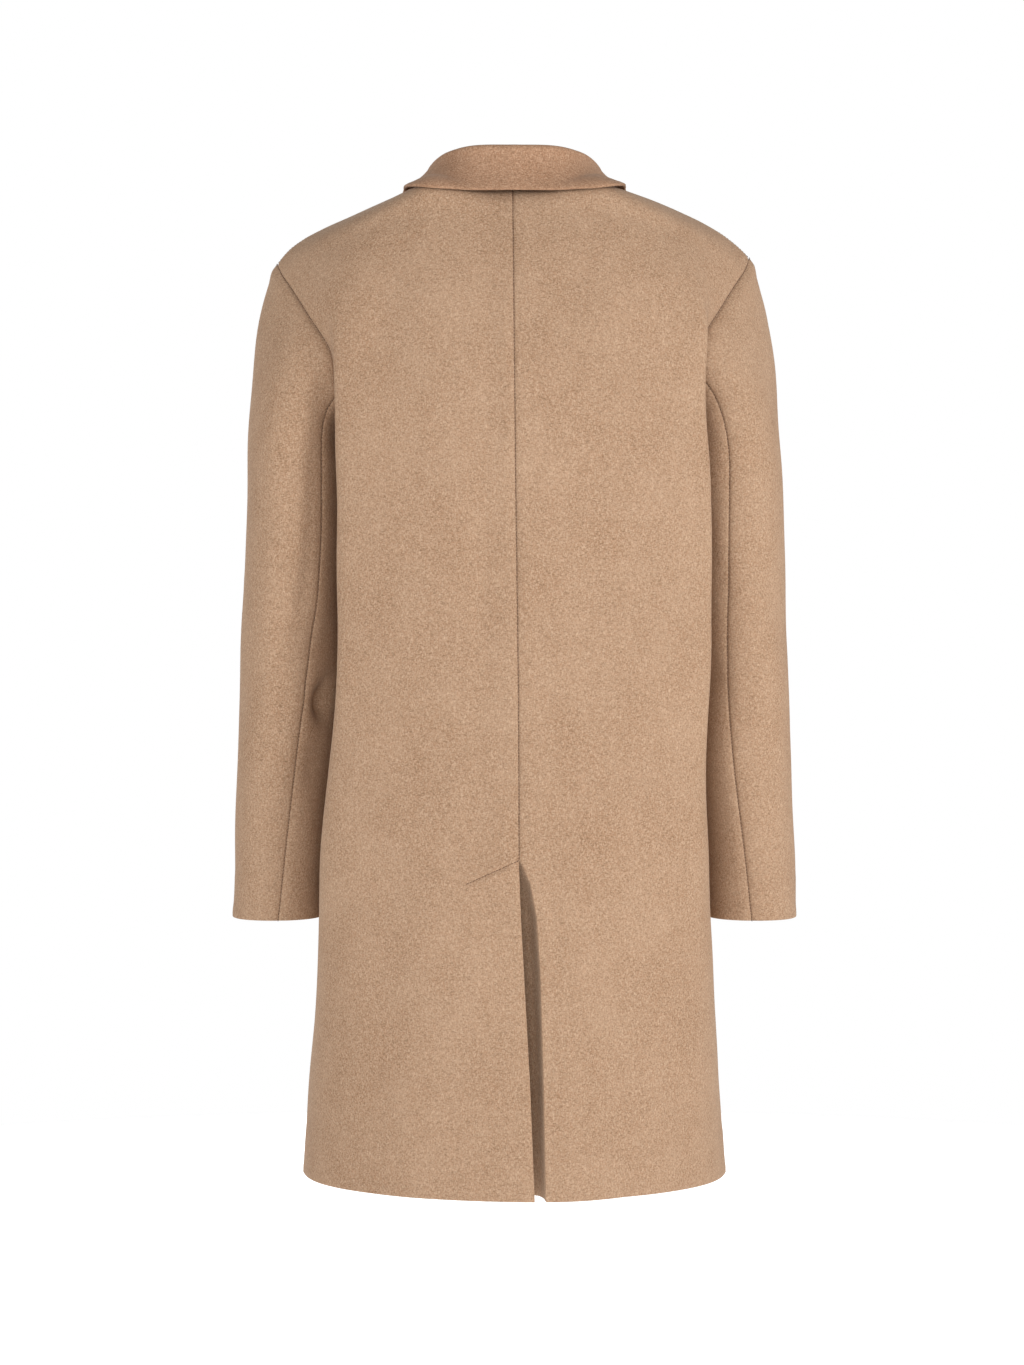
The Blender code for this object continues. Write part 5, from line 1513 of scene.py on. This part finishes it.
# ---------------------------------------------------------------- buttons and sewing
@dataclass
class Buttons:
    """Three four-hole buttons on the left front, sewn on with crossed thread."""

    horn: bpy.types.Material
    thread: bpy.types.Material
    levels: tuple[float, ...] = BUTTON_LEVELS
    radius: float = 0.0135
    thickness: float = 0.0042
    gap: float = 0.0006
    hole: float = 0.0011
    hole_place: float = 0.0026
    diagonal: float = 0.7071
    sides: int = 56
    drill_sides: int = 16
    crease: float = 38.0
    well: float = 0.76
    bow: float = 0.0005
    lane: float = 0.00028
    profile: tuple[tuple[float, float], ...] = (
        (0.0, 0.0), (0.45, 0.0), (0.72, 0.02), (0.90, 0.12), (0.97, 0.30), (1.0, 0.55), (0.985, 0.78),
        (0.945, 0.94), (0.89, 1.0), (0.83, 0.98), (0.78, 0.90), (0.72, 0.78), (0.64, 0.72), (0.45, 0.70),
        (0.0, 0.70))

    def blank(self) -> bpy.types.Mesh:
        """A turned button with four drilled holes, lying on its back at the origin."""
        work = bmesh.new()
        rings = []
        for share, height in self.profile[1:-1]:
            turns = [2 * math.pi * step / self.sides for step in range(self.sides)]
            reach, lift = share * self.radius, height * self.thickness
            rings.append([work.verts.new((reach * math.cos(turn), reach * math.sin(turn), lift))
                          for turn in turns])
        for low, high in zip(rings[:-1], rings[1:]):
            for step in range(self.sides):
                after = (step + 1) % self.sides
                work.faces.new((low[step], low[after], high[after], high[step]))
        work.faces.new(rings[0][::-1])
        work.faces.new(rings[-1])
        bmesh.ops.recalc_face_normals(work, faces=work.faces[:])
        disc = self.scratch("button_disc", work)
        drill = bmesh.new()
        for x, y in ((1, 1), (1, -1), (-1, 1), (-1, -1)):
            cone = bmesh.ops.create_cone(drill, cap_ends=True, segments=self.drill_sides, radius1=self.hole,
                                         radius2=self.hole, depth=self.thickness * 3)
            place = self.hole_place * self.diagonal
            bmesh.ops.translate(drill, verts=cone["verts"], vec=(x * place, y * place, 0.0))
        cutter = self.scratch("button_drill", drill)
        modifier = disc.modifiers.new("holes", "BOOLEAN")
        modifier.operation = "DIFFERENCE"
        modifier.solver = "EXACT"
        modifier.object = cutter
        graph = bpy.context.evaluated_depsgraph_get()
        mesh = bpy.data.meshes.new_from_object(disc.evaluated_get(graph))
        bpy.data.objects.remove(disc, do_unlink=True)
        bpy.data.objects.remove(cutter, do_unlink=True)
        return mesh

    def scratch(self, name: str, work: bmesh.types.BMesh) -> bpy.types.Object:
        """Put a work mesh in the scene for the drilling."""
        mesh = bpy.data.meshes.new(name)
        work.to_mesh(mesh)
        work.free()
        return link(name, mesh, self.horn)

    def build(self) -> None:
        """Build the buttons and the thread that holds them."""
        share = FORM.wrap / (BUTTON_ROW.fold + FORM.wrap) * FORM.fold_at
        blank = self.blank()
        paths = []
        for number, level in enumerate(self.levels, 1):
            here, normal, _ = FORM.frames(Cut.FRONT, Side.LEFT, np.array([level]), np.array([share]))
            centre, outward = here[0], normal[0]
            across = unit(np.cross(outward, (0.0, 0.0, 1.0)))
            axes = np.array([across, np.cross(across, outward) * -1, outward])
            if np.linalg.det(axes) < 0:
                axes[1] *= -1
            mesh = blank.copy()
            points = np.array([vertex.co for vertex in mesh.vertices]) @ axes + centre + outward * self.gap
            mesh.vertices.foreach_set("co", points.astype(np.float32).ravel())
            mesh.shade_smooth()
            mesh.set_sharp_from_angle(angle=math.radians(self.crease))
            piece = link("button_%d_horn" % number, mesh, self.horn)
            declare(piece, "horn", "button_%d" % number)
            top = self.gap + self.thickness * self.well
            place = self.hole_place * self.diagonal
            for row in (-place, place):
                for lane in (-self.lane, self.lane):
                    lift = np.array([self.gap, top, top + self.bow, top, self.gap])
                    reach = np.array([-place, -place, 0.0, place, place])
                    paths.append(centre + np.outer(reach, axes[0]) + np.outer(lift, outward)
                                 + axes[1] * (row + lane))
        sewing = Sewing(step=0.00055, length=0.0012, radius=0.00030, jitter=0.05)
        declare(sewing.lay("button_threads", paths, self.thread, 3), "wool")


@dataclass
class SeamSewing:
    """The sewing sunk in the seams, and the slanted sewing at the top of the vent."""

    thread: bpy.types.Material
    depth: float = 0.00105
    side_share: float = 0.999
    slant_start: tuple[float, float] = (-0.0030, -0.6486)
    slant_run: tuple[float, float] = (0.0460, -0.0210)
    slant_band: tuple[float, float] = (-0.660, 0.030)

    def sunk(self, cut: Cut, side: Side, level: Any, share: Any) -> Array:
        """Points below the form's outer face."""
        here, normals, _ = FORM.frames(cut, side, level, share)
        return here - normals * self.depth

    def build(self, back: BodyPanel, sleeves: Sequence[Sleeve]) -> None:
        """Lay the stitches.

        Args:
            back: the built left back, which carries the slanted sewing.
            sleeves: the built sleeves, whose seams are followed.
        """
        down = np.linspace(FORM.top, -0.646, 130)
        paths = [self.sunk(Cut.BACK, Side.LEFT, down, np.zeros(130))]
        below = np.linspace(FORM.underarm, FORM.hem + 0.003, 140)
        over = np.linspace(FORM.top, FORM.underarm, 60)
        for side in Side:
            for cut, levels in ((Cut.BACK, below), (Cut.BACK, over), (Cut.FRONT, over)):
                paths.append(self.sunk(cut, side, levels, np.full(len(levels), self.side_share)))
            paths.append(self.sunk(Cut.FRONT, side, np.full(40, FORM.top), np.linspace(0.0, 1.0, 40)))
        for sleeve in sleeves:
            middle = sleeve.grid[:, :-1].mean(axis=1, keepdims=True)
            normals = grid_normals(sleeve.grid, middle)
            for column in (sleeve.hind_column, sleeve.fore_column):
                paths.append((sleeve.grid[:, column] - normals[:, column] * self.depth)[1:-1])
        declare(Sewing().lay("seam_stitches", paths, self.thread, 11), "wool")
        slant = np.linspace(0.0, 1.0, 40)
        x, z = (place + run * slant for place, run in zip(self.slant_start, self.slant_run))
        y = self.depth_at(back, x, z)
        sewing = Sewing(step=0.0029, length=0.0027, radius=0.00042)
        declare(sewing.lay("vent_stitches", [np.stack([x, y, z], -1)], self.thread, 5), "wool")

    def depth_at(self, back: BodyPanel, x: Array, z: Array) -> Array:
        """Y of the left back's outer face at places seen from behind."""
        near = np.abs(back.levels - self.slant_band[0]) < self.slant_band[1]
        points = back.grid[near].reshape(-1, 3)
        found = []
        for place in np.stack([x, z], -1):
            gaps = np.linalg.norm(points[:, (0, 2)] - place, axis=1)
            close = np.argsort(gaps)[:3]
            weights = 1.0 / (gaps[close] + 1e-5)
            found.append(float(np.dot(points[close, 1], weights) / weights.sum()))
        return np.array(found)


@dataclass
class Buttonholes:
    """Worked buttonholes on the left front, under the buttons and past them to the edge."""

    thread: bpy.types.Material
    levels: tuple[float, ...] = BUTTON_LEVELS
    start: float = -0.0145
    end: float = 0.0020
    half_height: float = 0.0011
    square: float = 1.15
    lift: float = 0.0002

    def build(self) -> None:
        """Lay the overcast thread round each buttonhole."""
        share_per_metre = FORM.fold_at / (BUTTON_ROW.fold + FORM.wrap)
        paths = []
        for level in self.levels:
            turns = np.linspace(0, 2 * math.pi, 90)
            reach = (self.end - self.start) / 2
            x = (self.start + self.end) / 2 + reach * np.clip(self.square * np.cos(turns), -1, 1)
            z = level + self.half_height * np.sin(turns)
            share = (x + FORM.wrap) * share_per_metre
            here, normals, _ = FORM.frames(Cut.FRONT, Side.LEFT, z, share)
            paths.append(here + normals * self.lift)
        sewing = Sewing(step=0.00075, length=0.00085, radius=0.00050, jitter=0.5)
        declare(sewing.lay("buttonhole_stitches", paths, self.thread, 9), "wool")


# ---------------------------------------------------------------- studio
@dataclass
class Studio:
    """Pale floor, soft light and the photograph's camera."""

    floor_z: float = -1.45
    floor_radius: float = 3.2
    floor_tones: tuple[tuple[float, float, float], ...] = ((0.93, 0.93, 0.93), (0.95, 0.95, 0.95))
    floor_glow: float = 0.42
    aim: tuple[float, float, float] = (0.0, 0.0, -0.45)
    world: float = 0.96
    overhead: float = 0.2
    eye: tuple[float, float, float] = (0.0024, 2.40, -0.4855)
    lens: float = 65.5
    sensor: float = 36.0
    lamps: tuple[tuple[Any, ...], ...] = (
        ("key", (-2.5, 2.2, 0.2), 1.2, 47.0, (1.0, 0.99, 0.975)),
        ("fill", (0.2, 3.2, -0.2), 1.6, 27.0, (1.0, 0.99, 0.98)),
        ("front", (0.6, -3.0, 0.3), 2.2, 44.0, (1.0, 0.99, 0.98)),
        ("edge", (3.0, 0.9, -0.2), 1.6, 9.0, (1.0, 0.99, 0.98)),
    )

    def lamp(self, name: str, place: Sequence[float], size: float, power: float,
             warmth: Sequence[float]) -> None:
        """Add a soft area light that looks at the coat's middle."""
        light = bpy.data.lights.new(name, "AREA")
        light.shape = "DISK"
        light.size = size
        light.energy = power
        light.color = tuple(warmth)
        lamp = bpy.data.objects.new(name, light)
        lamp.location = place
        lamp.rotation_euler = (Vector(self.aim) - Vector(place)).to_track_quat("-Z", "Y").to_euler()
        bpy.context.scene.collection.objects.link(lamp)

    def build(self) -> None:
        """Set the floor, the lights and the camera."""
        scene = bpy.context.scene
        scene.view_settings.view_transform = "Standard"
        world = bpy.data.worlds.new("studio")
        world.use_nodes = True
        tree = world.node_tree
        backdrop = tree.nodes["Background"]
        backdrop.inputs["Color"].default_value = (1.0, 1.0, 1.0, 1.0)
        path, place, split, sky, strength = (tree.nodes.new("ShaderNode" + kind) for kind in (
            "LightPath", "TexCoord", "SeparateXYZ", "MapRange", "Mix"))
        sky.inputs["To Min"].default_value = self.world
        sky.inputs["To Max"].default_value = self.overhead
        strength.inputs["B"].default_value = 1.0
        for start, end in ((place.outputs["Generated"], split.inputs[0]),
                           (split.outputs["Z"], sky.inputs["Value"]),
                           (path.outputs["Is Camera Ray"], strength.inputs["Factor"]),
                           (sky.outputs["Result"], strength.inputs["A"]),
                           (strength.outputs["Result"], backdrop.inputs["Strength"])):
            tree.links.new(start, end)
        scene.world = world
        for lamp in self.lamps:
            self.lamp(*lamp)
        work = bmesh.new()
        bmesh.ops.create_circle(work, cap_ends=True, segments=96, radius=self.floor_radius)
        bmesh.ops.translate(work, verts=work.verts[:], vec=(0.0, 0.0, self.floor_z))
        mesh = bpy.data.meshes.new("floor")
        work.to_mesh(mesh)
        work.free()
        graph = Graph("pale_floor")
        tone = graph.noise(graph.coordinates(), scale=3.0).between(0.3, 0.7)
        graph.feed("Base Color", graph.blend(tone, *self.floor_tones))
        graph.hold(Roughness=0.9, Specular_IOR_Level=0.1, Emission_Color=(1.0, 1.0, 1.0, 1.0),
                   Emission_Strength=self.floor_glow)
        link("floor", mesh, graph.material)
        camera = bpy.data.cameras.new("camera")
        camera.lens = self.lens
        camera.sensor_width = self.sensor
        camera.sensor_fit = "AUTO"
        view = bpy.data.objects.new("camera", camera)
        view.location = self.eye
        view.rotation_euler = (math.pi / 2, 0.0, math.pi)
        scene.collection.objects.link(view)
        scene.camera = view


# ---------------------------------------------------------------- the coat
def main() -> None:
    """Dress the coat."""
    logging.basicConfig(level=logging.INFO, format="%(message)s")
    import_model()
    Studio().build()
    wool = FeltedWool().material()
    thread = SewingThread().material()
    horn = PolishedHorn().material()
    panels = [BodyPanel(cut, side, wool) for cut in Cut for side in Side]
    for panel in panels:
        panel.build()
    sleeves = [Sleeve(side, wool) for side in Side]
    for sleeve in sleeves:
        sleeve.build()
    for side in Side:
        Lapel(side, wool).build()
    # The collar's cloth is a darker, warmer copy of the wool: painted shade where the collar turns up away
    # from the light.
    Collar(FeltedWool("camel_felted_wool_collar", painted_shade_tint=(0.93, 0.85, 0.82)).material()).build()
    Buttons(horn, thread).build()
    Buttonholes(thread).build()
    SeamSewing(thread).build(panels[0], sleeves)


if __name__ == "__main__":
    main()
